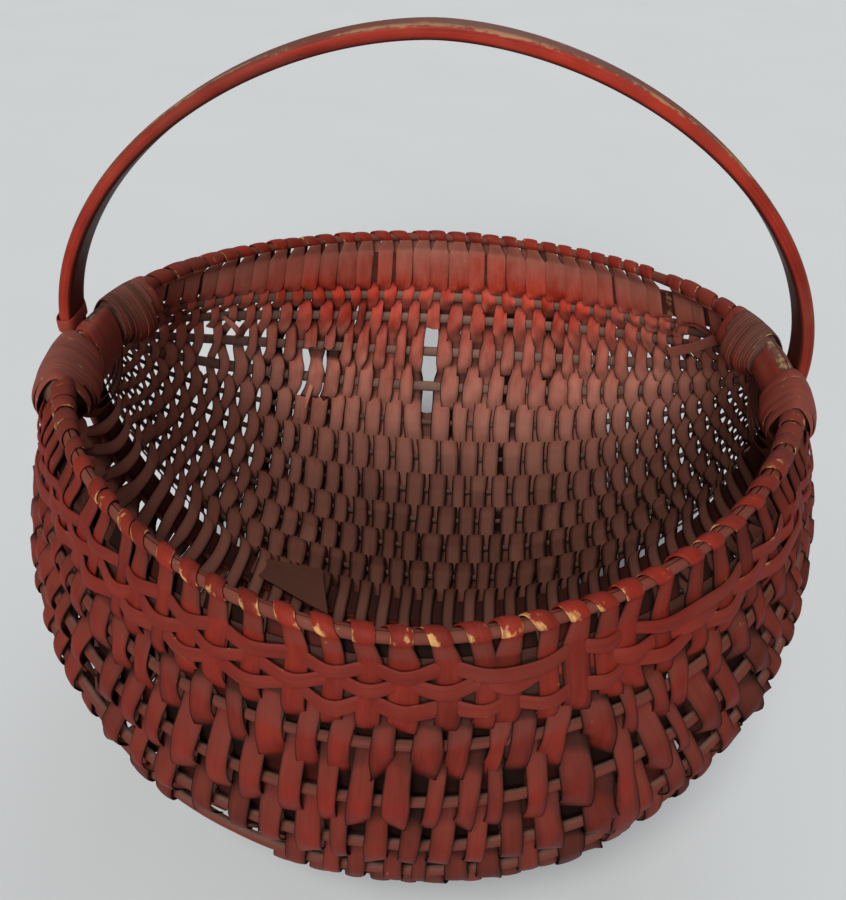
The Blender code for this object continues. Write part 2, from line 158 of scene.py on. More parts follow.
def lobe_rows(side):
    """The two edges of the wide band, and the ribs from the band down to the keel."""
    points, bottom_index = section()
    at = lengths(points)
    bottom = at[bottom_index]
    first, drop, width = lobe_drops[side]
    spacing = (bottom - second_rib_drop) / (bottom_rib - 2)
    drops = [first] + [second_rib_drop + spacing * i for i in range(bottom_rib - 1)] + [bottom + last_rib_gap]

    def rows(drops, fans, blends):
        return [Row(body_line(sample(points, d, at), fan, blend), weave_reach)
                for d, fan, blend in zip(drops, fans, blends)]

    return (rows((drop, drop + width), band_fan, ear_blend_shares),
            rows(drops, np.linspace(*rib_fan, rib_count), ear_blend_shares[2:] + (1.0,) * rib_count))


rows_of = {side: lobe_rows(side) for side in (front, back)}


def place(points, side=back):
    """From the back lobe, seen from the ear line, to either lobe in the row frame."""
    p = np.array(points, float)
    p[..., 1] *= side
    p[..., 2] += ear_height
    return p


def flip(vectors, side):
    v = np.array(vectors, float)
    v[..., 1] *= side
    return v


# meshes
floor_clearance = 0.0001


class Bag:
    """Collects many small pieces into one mesh."""

    def __init__(self):
        self.verts, self.faces, self.uvs, self.paint, self.count = [], [], [], [], 0

    def add(self, verts, faces, uvs, paint):
        """uvs: across and along in metres. paint: dust, which also stands for painted shade and sheen, wear,
        tone, which below zero is painted shade and grime, and looks inward. Both per vertex.
        """
        self.verts.append(verts.reshape(-1, 3))
        self.faces += [[i + self.count for i in face] for face in faces]
        self.uvs.append(uvs.reshape(-1, 2))
        self.paint.append(paint.reshape(-1, 4))
        self.count += len(self.verts[-1])

    def make(self, name, material, smooth_angle=42):
        verts = np.vstack(self.verts)
        verts[:, 2] = np.maximum(verts[:, 2], floor_clearance)
        data = bpy.data.meshes.new(name)
        data.from_pydata(verts.tolist(), [], self.faces)
        data.update()
        index = np.zeros(len(data.loops), np.int32)
        data.loops.foreach_get("vertex_index", index)
        grain = data.uv_layers.new(name="grain")
        grain.data.foreach_set("uv", np.vstack(self.uvs).astype(np.float32)[index].ravel())
        # this attribute holds dust, wear and tone, and with them painted shade and sheen
        finish_and_painted_light = data.color_attributes.new("finish_and_painted_light", 'FLOAT_COLOR', 'POINT')
        finish_and_painted_light.data.foreach_set("color", np.vstack(self.paint).astype(np.float32).ravel())
        item = bpy.data.objects.new(name, data)
        bpy.context.scene.collection.objects.link(item)
        data.materials.append(material)
        data.shade_smooth()
        data.set_sharp_from_angle(angle=math.radians(smooth_angle))
        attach(item, "root")
        return item


across_profile = np.array((-1.0, -0.86, -0.45, 0.0, 0.45, 0.86, 1.0))
# the last of these: how far the tone falls where painted shade and grime are full
edge_thinning, end_shift, shade_and_grime_range = 0.6, 3, 1.6
wide_thickness = 0.0009
upright = np.array((0.0, 0.0, 1.0))


def strip(bag, centre, wide, half_width, thickness, facing, crown=(0.0, 0.0, 0.0), dust=0.0, inner_dust=0.0,
          wear=0.0, tone=0.5, outside_only=0.0, ragged=(0.0, 0.0), edge_wear=0.35, corner_wear=0.0,
          shade_and_grime=np.zeros((1, 2)), edge_shade_and_dirt=0.0):
    """A thin flat splint: centre line, width direction and half width at each point.
    facing: the way out of the basket at each point, which says what each face is painted like.
    crown: how far its middle stands above its edges. ragged: how far each end frays.
    grime: painted shade and dirt on the outside and on the inside at each point."""
    n, m = len(centre), len(across_profile)

    def spread(value):
        return np.broadcast_to(value, n)[:, None]

    wide, crown = [np.broadcast_to(vector, (n, 3)) for vector in (wide, crown)]
    tangent, wide = unit(np.gradient(centre, axis=0)), unit(wide)
    normal = unit(np.cross(wide, tangent))
    a, half = across_profile[None, :, None], spread(half_width)
    mid = centre[:, None] + wide[:, None] * a * half[:, :, None] - crown[:, None] * a * a
    edge = thickness / 2 * (1 - edge_thinning * np.abs(a) ** 8)
    top, low = mid + normal[:, None] * edge, mid - normal[:, None] * edge
    for end, amount in zip((0, -1), ragged):
        shift = rng.normal(0, 1, (m, 1)) * amount
        top[end] += tangent[end] * shift
        low[end] += tangent[end] * shift
    k = 2 * m
    verts = np.concatenate([top, low[:, ::-1]], 1)
    i, q = np.meshgrid(np.arange(n - 1), np.arange(k), indexing="ij")
    r = (q + 1) % k
    faces = np.stack([i * k + q, i * k + r, (i + 1) * k + r, (i + 1) * k + q], -1).reshape(-1, 4).tolist()
    faces += [list(range(k))[::-1], [(n - 1) * k + q for q in range(k)]]
    around = np.concatenate([across_profile, across_profile[::-1]])[None, :]
    shift = rng.uniform(0, end_shift, 2)
    u = around * half + shift[0]
    v = np.broadcast_to((lengths(centre) + shift[1])[:, None], u.shape)
    # what each point looks at: 1 out of the basket, 0 into it
    top_out = np.clip(0.5 + 2 * (normal * facing).sum(1), 0, 1)[:, None] * np.ones(m)
    out = np.maximum(np.concatenate([top_out, 1 - top_out], 1), spread(outside_only))
    d = spread(dust) * out + spread(inner_dust) * (1 - out)
    w = spread(wear) + spread(edge_wear) * np.abs(around) ** 6
    w = w + spread(corner_wear) * np.clip(0.25 - around, 0, 1)
    # the edges are darkened, as painted shade and dirt
    t = spread(tone) - spread(edge_shade_and_dirt) * np.abs(around) ** 9
    # painted shade and grime darken the outer and the inner face
    t = t - shade_and_grime_range * (shade_and_grime[:, :1] * out + shade_and_grime[:, 1:] * (1 - out))
    bag.add(verts, faces, np.stack([u, v], -1), np.stack([d, w, t, 1 - out], -1))


def ring(count):
    """The angles of the corners of a round rod."""
    return 2 * math.pi * np.arange(count) / count


def tube(bag, centre, radius_a, radius_b, side_dir, up_dir, profile, dust=0.3, wear=0.0, tone=0.5, inner=0.0,
         closed=False):
    """A rod: radius_a along side_dir, radius_b along up_dir, profile its corners for a radius of 1.
    Paint values may be per point and per side."""
    n = len(centre)
    c, s = profile
    sides = len(c)
    ra, rb = [np.broadcast_to(radius, n)[:, None, None] for radius in (radius_a, radius_b)]
    side_dir, up_dir = [np.broadcast_to(direction, (n, 3)) for direction in (side_dir, up_dir)]
    verts = centre[:, None] + side_dir[:, None] * c[:, None] * ra + up_dir[:, None] * s[:, None] * rb
    tangent = np.roll(centre, -1, 0) - centre
    turned = (np.cross(side_dir, up_dir) * tangent)[:-1].sum() < 0
    i, q = np.meshgrid(np.arange(n if closed else n - 1), np.arange(sides), indexing="ij")
    j, r = (i + 1) % n, (q + 1) % sides
    order = [i * sides + q, j * sides + q, j * sides + r, i * sides + r]
    faces = np.stack(order if turned else order[::-1], -1).reshape(-1, 4).tolist()
    if not closed:
        first, last = list(range(sides)), [(n - 1) * sides + q for q in range(sides)]
        faces += [first if turned else first[::-1], last[::-1] if turned else last]
    corners = np.stack([c * ra[0, 0, 0], s * rb[0, 0, 0]], 1)
    girth = np.linalg.norm(np.roll(corners, -1, 0) - corners, axis=1).sum()
    arc = np.abs(np.arange(sides) - sides / 2) / sides * girth
    shift = rng.uniform(0, end_shift, 2)
    u = np.broadcast_to(arc[None, :] + shift[0], (n, sides))
    v = np.broadcast_to((lengths(centre) + shift[1])[:, None], (n, sides))

    def spread(value):
        value = np.asarray(value, float)
        return np.broadcast_to(value[:, None] if value.ndim == 1 else value, (n, sides))

    paint = np.stack([spread(value) for value in (dust, wear, tone, inner)], -1)
    bag.add(verts, faces, np.stack([u, v], -1), paint)


# the weave
def smoothed(table, passes, rows):
    """Spread each value over its neighbours, so that strips side by side lean together."""
    for axis, times in ((0, passes), (1, rows)):
        for _ in range(times):
            ends = [(1, 1) if q == axis else (0, 0) for q in (0, 1)]
            p = np.pad(table, ends, mode="edge")
            low, high = (p[:-2], p[2:]) if axis == 0 else (p[:, :-2], p[:, 2:])
            table = 0.25 * low + 0.5 * table + 0.25 * high
    return table / table.std()


def jitter_table():
    """Sideways wander of each pass at each row, as a share of the woven length."""
    together = smoothed(rng.normal(0, 1, (pass_count, column_count)), 10, 5)
    alone = smoothed(rng.normal(0, 1, (pass_count, column_count)), 0, 3)
    at_front = np.arange(column_count)[None, :] < keel_column
    aside = np.abs(np.arange(pass_count)[:, None] / pass_count - 0.5)
    more = 1 + 0.9 * ramp(aside, 0.10, 0.18)
    return (together * np.where(at_front, 0.32 * more, 0.24)
            + alone * np.where(at_front, 0.13 * more, 0.06)) * pass_pitch


# the tables have a column for each row of both lobes, from the front rim to the back rim
keel_column, column_count = 13, 27
band_column, rim_column = {front: 1, back: 25}, {front: 0, back: 26}
neck_level, rim_level = 13, 20
splint_crown = 0.00045
wander = jitter_table()
widths = rng.normal(1.02, 0.08, (pass_count, column_count)) * (1 + rng.normal(0, 0.07, (pass_count, 1)))
widths[:, :keel_column] *= 1 + rng.normal(0, 0.09, (pass_count, keel_column))
tilts = rng.normal(0, 1, (pass_count, column_count))
slips = rng.uniform(0, 1, (pass_count, column_count)) < 0.05
tone_of = rng.uniform(0, 1, pass_count)
tone_at = rng.uniform(-0.35, 0.35, (pass_count, column_count))


def pass_share(k, side=back, gather=0.0):
    """Where a pass lies along a row; in the front lobe the passes crowd towards the middle."""
    share = (k + 0.5) / pass_count
    if side == front:
        share += gather * 0.11 * math.sin(2 * math.pi * share) / (2 * math.pi)
    return share


def crowding(k, column):
    """How far apart the neighbours of a pass are at one row, against the even spacing."""
    low, high = max(k - 1, 0), min(k + 1, pass_count - 1)
    return 1 + (wander[high, column] - wander[low, column]) / ((high - low) * pass_pitch)


def to_ear(share):
    return np.minimum(share, 1 - share)


def rod_size(share):
    return rim_rod_radius * (1 - 0.32 * ramp(to_ear(share), 0.05, 0.15))


def rib_size(share):
    tip = rib_tip_radius / rib_radius
    return rib_radius * (tip + (1 - tip) * min(1.0, math.sin(math.pi * min(max(share, 0), 1)) * 1.6))


def narrowing(share, side):
    """Strips are narrower close to the ears, where the rows run together."""
    least = 0.78 if side == back else 0.96
    return least + (1 - least) * ramp(to_ear(share), 0, 0.12)


def closeness(share):
    """1 at either ear, falling to 0 where the strips no longer crowd together."""
    return float(ramp(to_ear(share), 0.17, -0.08))


def surface_point(row, share, side):
    return place(row.at(share), side), unit(flip(row.along(share), side))


def keel_control(k, side, even):
    share = pass_share(k) + wander[k, keel_column] * 0.5
    sign = -1 if k % 2 == 0 else 1
    p, along = surface_point(keel_row, share, side)
    normal = unit(np.cross(along, (0.0, -1.0, 0.0)))
    p = p + normal * (hoop_thickness / 2 + splint_thickness / 2 + 0.0003) * sign
    p[1] = side * (hoop_width / 2 + 0.0012)
    return dict(p=p, n=normal, a=along, h=0.0, level=float(sign), row=0, pitch=keel_row.length * pass_pitch,
                w=0.56 * even * narrowing(pass_share(k), side))


def rib_control(k, side, i, rows, even):
    """One crossing with a rib, i rows above the keel: on which side of it, how far off and how wide."""
    base, order = pass_share(k), rib_count + 1 - i
    column = keel_column + (i if side == back else -i)
    share = pass_share(k, side, min(1.0, i / 3)) + wander[k, column]
    p, along = surface_point(rows[i], share, side)
    here, before, after = (row.at(share) for row in (rows[i], rows[i - 1], rows[i + 1]))
    normal = flip(unit(np.cross(rows[i].along(share), before - after)), side)
    s = 1 if (order % 2 == 0) == (k % 2 == 0) else -1
    slipped = side == front and abs(base - 0.5) > 0.14 and 2 < order < 9 and slips[k, column]
    s = -s if slipped else s
    spacing = min(np.linalg.norm(after - here), np.linalg.norm(before - here))
    bulge = 0.0011 * ramp(spacing, 0.012, 0.012) * (1.6 if order <= 3 else 0.7 if order < 8 else 0.1)
    h = rib_size(base) + splint_thickness / 2 + 0.0002 + bulge * (1.0 if s > 0 else 0.75) + 0.0009 * slipped
    wide = 0.60 if s > 0 else 0.655 if order < 4 or side == front else 0.84
    if side == front:
        wide += closeness(base) * (0.08 if s > 0 else 0.36) - (0.045 if s > 0 else 0.0)
    else:
        wide -= 0.12 * float(ramp(base, 0.32, -0.12))
        if s > 0 and order > 2:
            wide += 0.22 * float(ramp(to_ear(base), 0.20, 0.12))
    pitch, room = rows[i].length * pass_pitch, crowding(k, column)
    return dict(p=p, n=normal, a=along, h=h * s, level=float(s), row=i, pitch=pitch * room,
                w=wide * (even + pitch) / 2 * narrowing(base, side) * widths[k, column] * room)


def band_controls(k, side, rows, even):
    """Past the wide band, outside for even passes. Inside the back band the splint ends in a neck."""
    outside, column = k % 2 == 0, band_column[side]
    near, close = narrowing(pass_share(k), side), closeness(pass_share(k))
    share = pass_share(k, side, 0.4) + wander[k, column]
    low, high = rows[-2:]
    normal = flip(unit(np.cross(high.along(share), low.at(share) - high.at(share))), side)
    if outside:
        h, bend = band_thickness / 2 + splint_thickness / 2 + 0.0016, splint_crown
        wide = 0.58 * near
    else:
        h, bend = -(band_thickness / 2 + splint_thickness / 2 + 0.0007), -0.0002
        wide = (0.91 + 0.08 * close if side == back else 0.64 + 0.40 * close) * (0.5 + 0.5 * near)
    controls = []
    for i in (len(rows) - 2, len(rows) - 1):
        p, along = surface_point(rows[i], share, side)
        controls.append(dict(p=p, n=normal, a=along, h=h, level=1.0 if outside else -1.0, row=i,
                             crown=normal * bend, pitch=rows[i].length * pass_pitch,
                             w=wide * even * widths[k, column]))
    if not outside and side == back:
        neck = dict(controls[-1], row=neck_level, w=(0.76 + 0.24 * close) * even * near)
        neck["p"] = neck["p"] + 0.34 * (place(rim_row.at(share), side) - neck["p"])
        controls.append(neck)
    return controls


def half_controls(k, side):
    """Control points of one pass from the keel's edge up to the band, as dictionaries."""
    band, ribs = rows_of[side]
    rows = [keel_row] + ribs[::-1] + band[::-1]
    even = pass_pitch * (rim_row.length + ribs[4].length) / 2
    crossings = [rib_control(k, side, i, rows, even) for i in range(1, rib_count + 1)]
    return [keel_control(k, side, even)] + crossings + band_controls(k, side, rows, even)


# half width of a strip on the rim: at its start, its taper, its swell in the middle, its growth at the ears
rim_widths = {front: (0.60, 0.0, 0.02, 0.06), back: (0.68, -0.12, 0.16, 0.34)}
wrap_from, wrap_turn = math.radians(-18), math.radians(222)


def wrap_controls(k_out, k_in, side, steps=9):
    """Over the rim, from the outside pass to the inside pass."""
    s0, s1 = [pass_share(k) + wander[k, rim_column[side]] * 0.6 for k in (k_out, k_in)]
    cover, taper, swell, growth = rim_widths[side]
    even = pass_pitch * rim_row.length * narrowing(s0, side)
    loose = rng.uniform(0.0, 0.0009)
    lean = rng.normal(0, 0.18) * pass_pitch
    out = []
    for f in np.arange(steps + 1) / steps:
        turn, arch = wrap_from + wrap_turn * f, math.sin(math.pi * f)
        share = s0 + (s1 - s0) * f + lean * arch
        along = rim_row.along(share)
        outward = unit(np.array((-along[1], along[0], 0.0)))
        stand = rod_size(share) + 0.0007 + splint_thickness / 2 + loose * arch
        direction = outward * math.cos(turn) + upright * math.sin(turn)
        radial = unit(flip(direction, side))
        out.append(dict(p=place(rim_row.at(share) + direction * stand, side), a=unit(flip(along, side)),
                        n=radial if turn < math.pi / 2 else -radial, crown=radial * splint_crown,
                        w=(cover + taper * f + swell * arch + growth * closeness(s0)) * even,
                        h=0.0, level=1 - 2 * f, row=rim_level))
    return out


# strips that are broken away: pass and lobe, with the rows between which they are missing
missing = {
    (35, back): (6.30, 8.66), (22, back): (6.40, 7.90), (24, back): (6.40, 7.90), (11, back): (6.6, 8.5),
    (14, back): (6.7, 8.7), (60, back): (11.4, 21), (61, back): (10.9, 14), (64, back): (9.2, 10.7),
    (62, back): (8.4, 9.6), (23, front): (5.8, 6.6), (24, front): (5.6, 7.7), (25, front): (5.4, 7.6),
    (26, front): (5.5, 7.7), (27, front): (5.6, 7.4), (28, front): (5.8, 7.6),
}
# strips beside the holes that have moved away: pass, columns and shift in passes
moved = ((34, slice(19, 22), -0.30), (36, slice(19, 22), 0.28), (23, slice(20, 22), 0.10))
for beside, columns, shift in moved:
    wander[beside, columns] += shift * pass_pitch
# around the hole in the back wall the strips lean over together
hole_pass, hole_spread = 35, 9.0
lean = np.interp(np.arange(1, 13), (1, 3, 6, 7, 8, 9, 10), (0.0, -0.3, -1.2, -1.0, -0.62, -0.25, 0.0))
near_hole = np.exp(-((np.arange(pass_count)[:, None] - hole_pass) / hole_spread) ** 2)
wander[:, keel_column + 1:rim_column[back]] += lean * pass_pitch * near_hole


def weaver_controls(first, last):
    """All control points of one long splint, pass after pass."""
    controls = []

    def add(part, k, side, reverse=False):
        for c in part:
            c["k"], c["side"] = k, side
        controls.extend(part[::-1] if reverse else part)

    if first == 0:
        add(wrap_controls(0, 0, front), 0, front, True)
    for k in range(first, last + 1):
        leaving = back if k % 2 == 0 else front
        add(half_controls(k, -leaving), k, -leaving, True)
        add(half_controls(k, leaving), k, leaving)
        following = min(k + 1, pass_count - 1)
        # even passes lie outside the band, odd ones inside
        k_out, k_in = (k, following) if k % 2 == 0 else (following, k)
        add(wrap_controls(k_out, k_in, leaving), k, leaving, k % 2 == 1)
    if last + 1 < pass_count:
        add(half_controls(last + 1, leaving)[::-1][:2], last + 1, leaving)
    return controls


def catmull(points, steps):
    """Points through all the controls, with a number of steps for each interval."""
    p = np.vstack([2 * points[0] - points[1], points, 2 * points[-1] - points[-2]])
    out = []
    for i in range(len(points) - 1):
        p0, p1, p2, p3 = p[i:i + 4]
        d0, d1, d2 = [max(np.linalg.norm(b - a), 1e-6) ** 0.5 for a, b in ((p0, p1), (p1, p2), (p2, p3))]
        m1 = (p2 - p1) + d1 * ((p1 - p0) / d0 - (p2 - p0) / (d0 + d1))
        m2 = (p2 - p1) + d1 * ((p3 - p2) / d2 - (p3 - p1) / (d1 + d2))
        t = np.linspace(0, 1, steps[i], endpoint=False)[:, None]
        out.append((2 * t ** 3 - 3 * t ** 2 + 1) * p1 + (t ** 3 - 2 * t ** 2 + t) * m1
                   + (-2 * t ** 3 + 3 * t ** 2) * p2 + (t ** 3 - t ** 2) * m2)
    out.append(points[-1:])
    return np.vstack(out)


# dust, which towards the top of the band is also a painted sheen, and darkening, as painted shade and grime,
# on the inside at each row, from the keel's edge up to the band, and on the rim
row_dust_and_sheen = np.array((1.0, 1.0, 1.0, 1.0, 1.0, 1.0, 0.95, 0.72, 0.40, 0.20, 0.12, 0.06, 0.62) + (0.85,) * 8)
row_grime_and_shade = np.array((0.70, 0.70, 0.70, 0.68, 0.62, 0.51, 0.31, 0.13, 0.04) + (0.0,) * 12)
tone_to_shade_and_grime = 0.92
# low in the back lobe the strips lie flat, and a little further up they still cross steeply
flat_rows, steep_rows = 7, 9


def lost_points(k, side, row, on_rim):
    """Which points of a strip belong to a piece that is broken away."""
    lost = np.zeros(len(row), bool)
    for (gone_k, gone_side), (low, high) in missing.items():
        here = (k == gone_k) & (side == gone_side) & (row > low) & (row < high)
        lost |= here & (~on_rim | (high > rim_level))
    return lost


def woven_paint(k, low_row, level, tip, centre, tone, shade, inner_dust, inner_dirt_and_painted_light):
    """The paint of each point of a splint by its pass, row, level and tip, which is how far it faces up."""
    x, y, z = centre.T
    wrapping, woven = low_row == rim_level, low_row != rim_level
    # dust lies on what faces up, thickest low on the inside and by the ears; on the outside it also paints
    # shade on the upper half of each float, and on the inside its light colour is also a painted sheen
    by_ear = ramp(np.minimum(k, pass_count - 1 - k) / pass_count, 0.17, -0.08)
    outer_dust_and_shade = np.where(wrapping, 0.10 + 0.55 * by_ear, np.clip(0.06 + 0.46 * tip, 0, 1))
    inner_dust = inner_dust + 0.08 * tip + 0.45 * ramp(np.abs(x), 0.10, 0.07)
    inner_dust = np.where(wrapping, 0.16 + 0.5 * by_ear, np.clip(inner_dust, 0, 1))
    # the rim is rubbed, at the front down to the wood along one edge of each strip
    at_front = (y < 0) * np.clip(1.6 - np.abs(x + 0.015) / 0.085, 0.15, 1)
    wear = np.where(wrapping, 0.26 + 0.02 * at_front, 0.0) + 0.08 * (np.abs(level) > 0.9)
    # painted shade and dirt where a strip dives under the next, the front lobe darker towards the right and
    # towards the bottom, and darkening low on the inside as painted shade and grime
    dives = ramp(level, 0.15, -0.6) * (1 - 0.45 * np.clip(tip * 2, 0, 1)) * woven
    front_darkening = 0.02 + 0.05 * ramp(x, -0.15, -0.04) + 0.34 * ramp(x, 0.03, 0.12) + 0.28 * ramp(z, 0.15, -0.10)
    front_darkening = np.where(y < 0, (0.6 * tone + front_darkening / tone_to_shade_and_grime) / shade_and_grime_range, 0) * woven
    low = inner_dirt_and_painted_light * np.clip((x + 0.20) / 0.14, 0.25, 1)
    low = np.where(low > 0.01, (tone + low * (1 + 0.28 * shade) / tone_to_shade_and_grime) / shade_and_grime_range, 0)
    shade_and_grime = np.stack([np.maximum(dives, front_darkening), np.maximum(0.60 * ramp(level, 0.1, 0.6) * woven, low)], 1)
    return dict(dust=outer_dust_and_shade, inner_dust=inner_dust, wear=wear, tone=tone, outside_only=wrapping * 1.0,
                corner_wear=0.55 * wrapping * at_front * ramp(level, 0.2, 0.3), shade_and_grime=shade_and_grime,
                edge_wear=np.where(wrapping, 0.36, 0.16), edge_shade_and_dirt=1.1 * woven)


def weave(bag, controls):
    """One long splint through its control points, with its paint, left out where it is broken away."""
    def column(key):
        return np.array([c[key] for c in controls])

    for c in controls:
        flatness = 0.3 if c["side"] == back and c["row"] < flat_rows else 1.0
        c.setdefault("crown", c["n"] * splint_crown * c["level"] * flatness)
        c.setdefault("turn", 0.0)
    rows, levels = column("row"), column("level")
    steps = np.where((rows[:-1] == rim_level) & (rows[1:] == rim_level), 2, 8)
    t = np.concatenate([np.arange(s) / s for s in steps] + [[1.0]])
    i = np.append(np.repeat(np.arange(len(steps)), steps), len(steps) - 1)
    j = i + 1
    k, side = column("k")[i], column("side")[i]
    low_row, high_row = np.minimum(rows[i], rows[j]), np.maximum(rows[i], rows[j])

    def blend(values, share=t):
        share = share if values.ndim == 1 else share[:, None]
        return values[i] * (1 - share) + values[j] * share

    # in the middle of the back lobe the low crossings are steep and the strips keep their width
    inward = np.minimum(k + 0.5, pass_count - k - 0.5) / pass_count
    steep = 1 + 0.9 * ramp(inward, 0.20, 0.12) * (side == back) * (high_row < steep_rows)
    ease = (1 - np.cos(np.pi * np.clip(steep * (t - 0.5) + 0.5, 0, 1))) / 2
    height, level = blend(column("h"), ease), blend(levels, ease)
    bell = np.sin(np.pi * t) ** 2 * ((np.sign(levels[i]) != np.sign(levels[j])) & (high_row < rim_level))
    normal, wide = unit(blend(column("n"))), unit(blend(column("a")))
    half = blend(column("w")) * (1 - 0.06 * bell * (steep < 1.5))
    twist = (column("turn")[i] * bell)[:, None]
    centre = catmull(column("p"), steps) + normal * height[:, None]
    across = wide * np.cos(twist) + normal * np.sin(twist)
    run = np.maximum(np.gradient(lengths(centre)), 1e-6)
    tip = np.clip(-np.gradient(height) / run * np.sign(np.gradient(centre[:, 2])) * 2.2, -1, 1)
    columns = keel_column + column("side") * np.minimum(rows, neck_level)
    shade = tone_at[column("k"), columns]
    # the strips over the back band are painted brighter: painted light, where more light falls on them
    band_painted_lit = (low_row >= rib_count) & (side == back)
    tone = tone_of[k] + (blend(shade, ease) + 0.45 * band_painted_lit) * (low_row < rim_level)
    paint = woven_paint(k, low_row, level, tip, centre, tone, shade[i], blend(row_dust_and_sheen[rows]),
                        blend(row_grime_and_shade[rows]))
    crown = blend(column("crown"))
    lost = lost_points(k, side, blend(rows), high_row == rim_level)
    for part in np.split(np.arange(len(t)), np.where(np.diff(lost.astype(int)) != 0)[0] + 1):
        if lost[part[0]] or len(part) < 3:
            continue
        strip(bag, centre[part], across[part], half[part], splint_thickness, normal[part], crown[part],
              ragged=(0.0012 * (part[0] > 0), 0.0012 * (part[-1] < len(t) - 1)),
              **{key: values[part] for key, values in paint.items()})


def give_turns(controls):
    """Strips slip past each other on edge, all leaning the same way at one crossing."""
    for c, d in zip(controls, controls[1:]):
        low, high = sorted((c["row"], d["row"]))
        if high == rim_level or np.sign(c["level"]) == np.sign(d["level"]):
            continue
        room = 0.5 * (c["pitch"] + d["pitch"]) * 1.10 / ((c["w"] + d["w"]) * 0.94)
        amount = max(math.acos(min(1.0, room)), math.radians(11))
        if high > rib_count:
            amount *= 0.55
        if c["side"] == back and low < flat_rows:
            amount *= 0.0 if high < flat_rows else 0.4
        if c["side"] == front:
            amount = min(amount, math.radians(44 - 30 * closeness(pass_share(c["k"]))))
        loose = 0.20 if c["side"] == front and high <= rib_count else 0.14
        lean = 1.0 if pass_share(c["k"]) > 0.5 else -1.0
        c["turn"] = lean * amount * (1 + loose * tilts[c["k"], high])


# materials
class Nodes:
    """A new material, with short calls for its nodes."""

    def __init__(self, name):
        self.material = bpy.data.materials.new(name)
        self.material.use_nodes = True
        self.tree = self.material.node_tree
        self.shader = self.tree.nodes["Principled BSDF"].inputs

    def feed(self, socket, value):
        if isinstance(value, tuple):
            socket.default_value = (*value, 1.0)
        elif isinstance(value, (int, float)):
            socket.default_value = value
        else:
            self.tree.links.new(value, socket)

    def node(self, kind, inputs, **settings):
        """inputs: what goes into each input, a number, a colour or the output of another node."""
        made = self.tree.nodes.new("ShaderNode" + kind)
        for key, value in settings.items():
            setattr(made, key, value)
        for key, value in inputs.items():
            self.feed(made.inputs[key], value)
        return made

    def math(self, operation, a, b, clamp=False):
        return self.node("Math", {0: a, 1: b}, operation=operation, use_clamp=clamp).outputs[0]

    def add(self, a, b):
        return self.math('ADD', a, b)

    def take(self, a, b, clamp=False):
        return self.math('SUBTRACT', a, b, clamp)

    def times(self, a, b, clamp=False):
        return self.math('MULTIPLY', a, b, clamp)

    def varied(self, value, cloud, amount):
        return self.add(value, self.times(self.take(cloud, 0.5), amount))

    def mix(self, share, a, b):
        return self.node("Mix", {0: share, 6: a, 7: b}, data_type='RGBA').outputs[2]

    def sharpen(self, value, low, high):
        return self.node("MapRange", {0: value, 1: low, 2: high}, clamp=True).outputs[0]

    def noise(self, vector, scale, detail, roughness=0.55):
        settings = {"Vector": vector, "Scale": scale, "Detail": detail, "Roughness": roughness}
        return self.node("TexNoise", settings).outputs["Fac"]

    def stretched(self, vector, scale):
        made = self.node("Mapping", {"Vector": vector})
        made.inputs["Scale"].default_value = scale
        return made.outputs[0]


def scaled(colour, share):
    return tuple(share * v for v in colour)


# near black, for painted shade and grime
shade_and_grime_colour = (0.012, 0.006, 0.0045)
patch_scale, broad_scale, fine_scale = (150.0, 45.0, 1.0), 22.0, 320.0


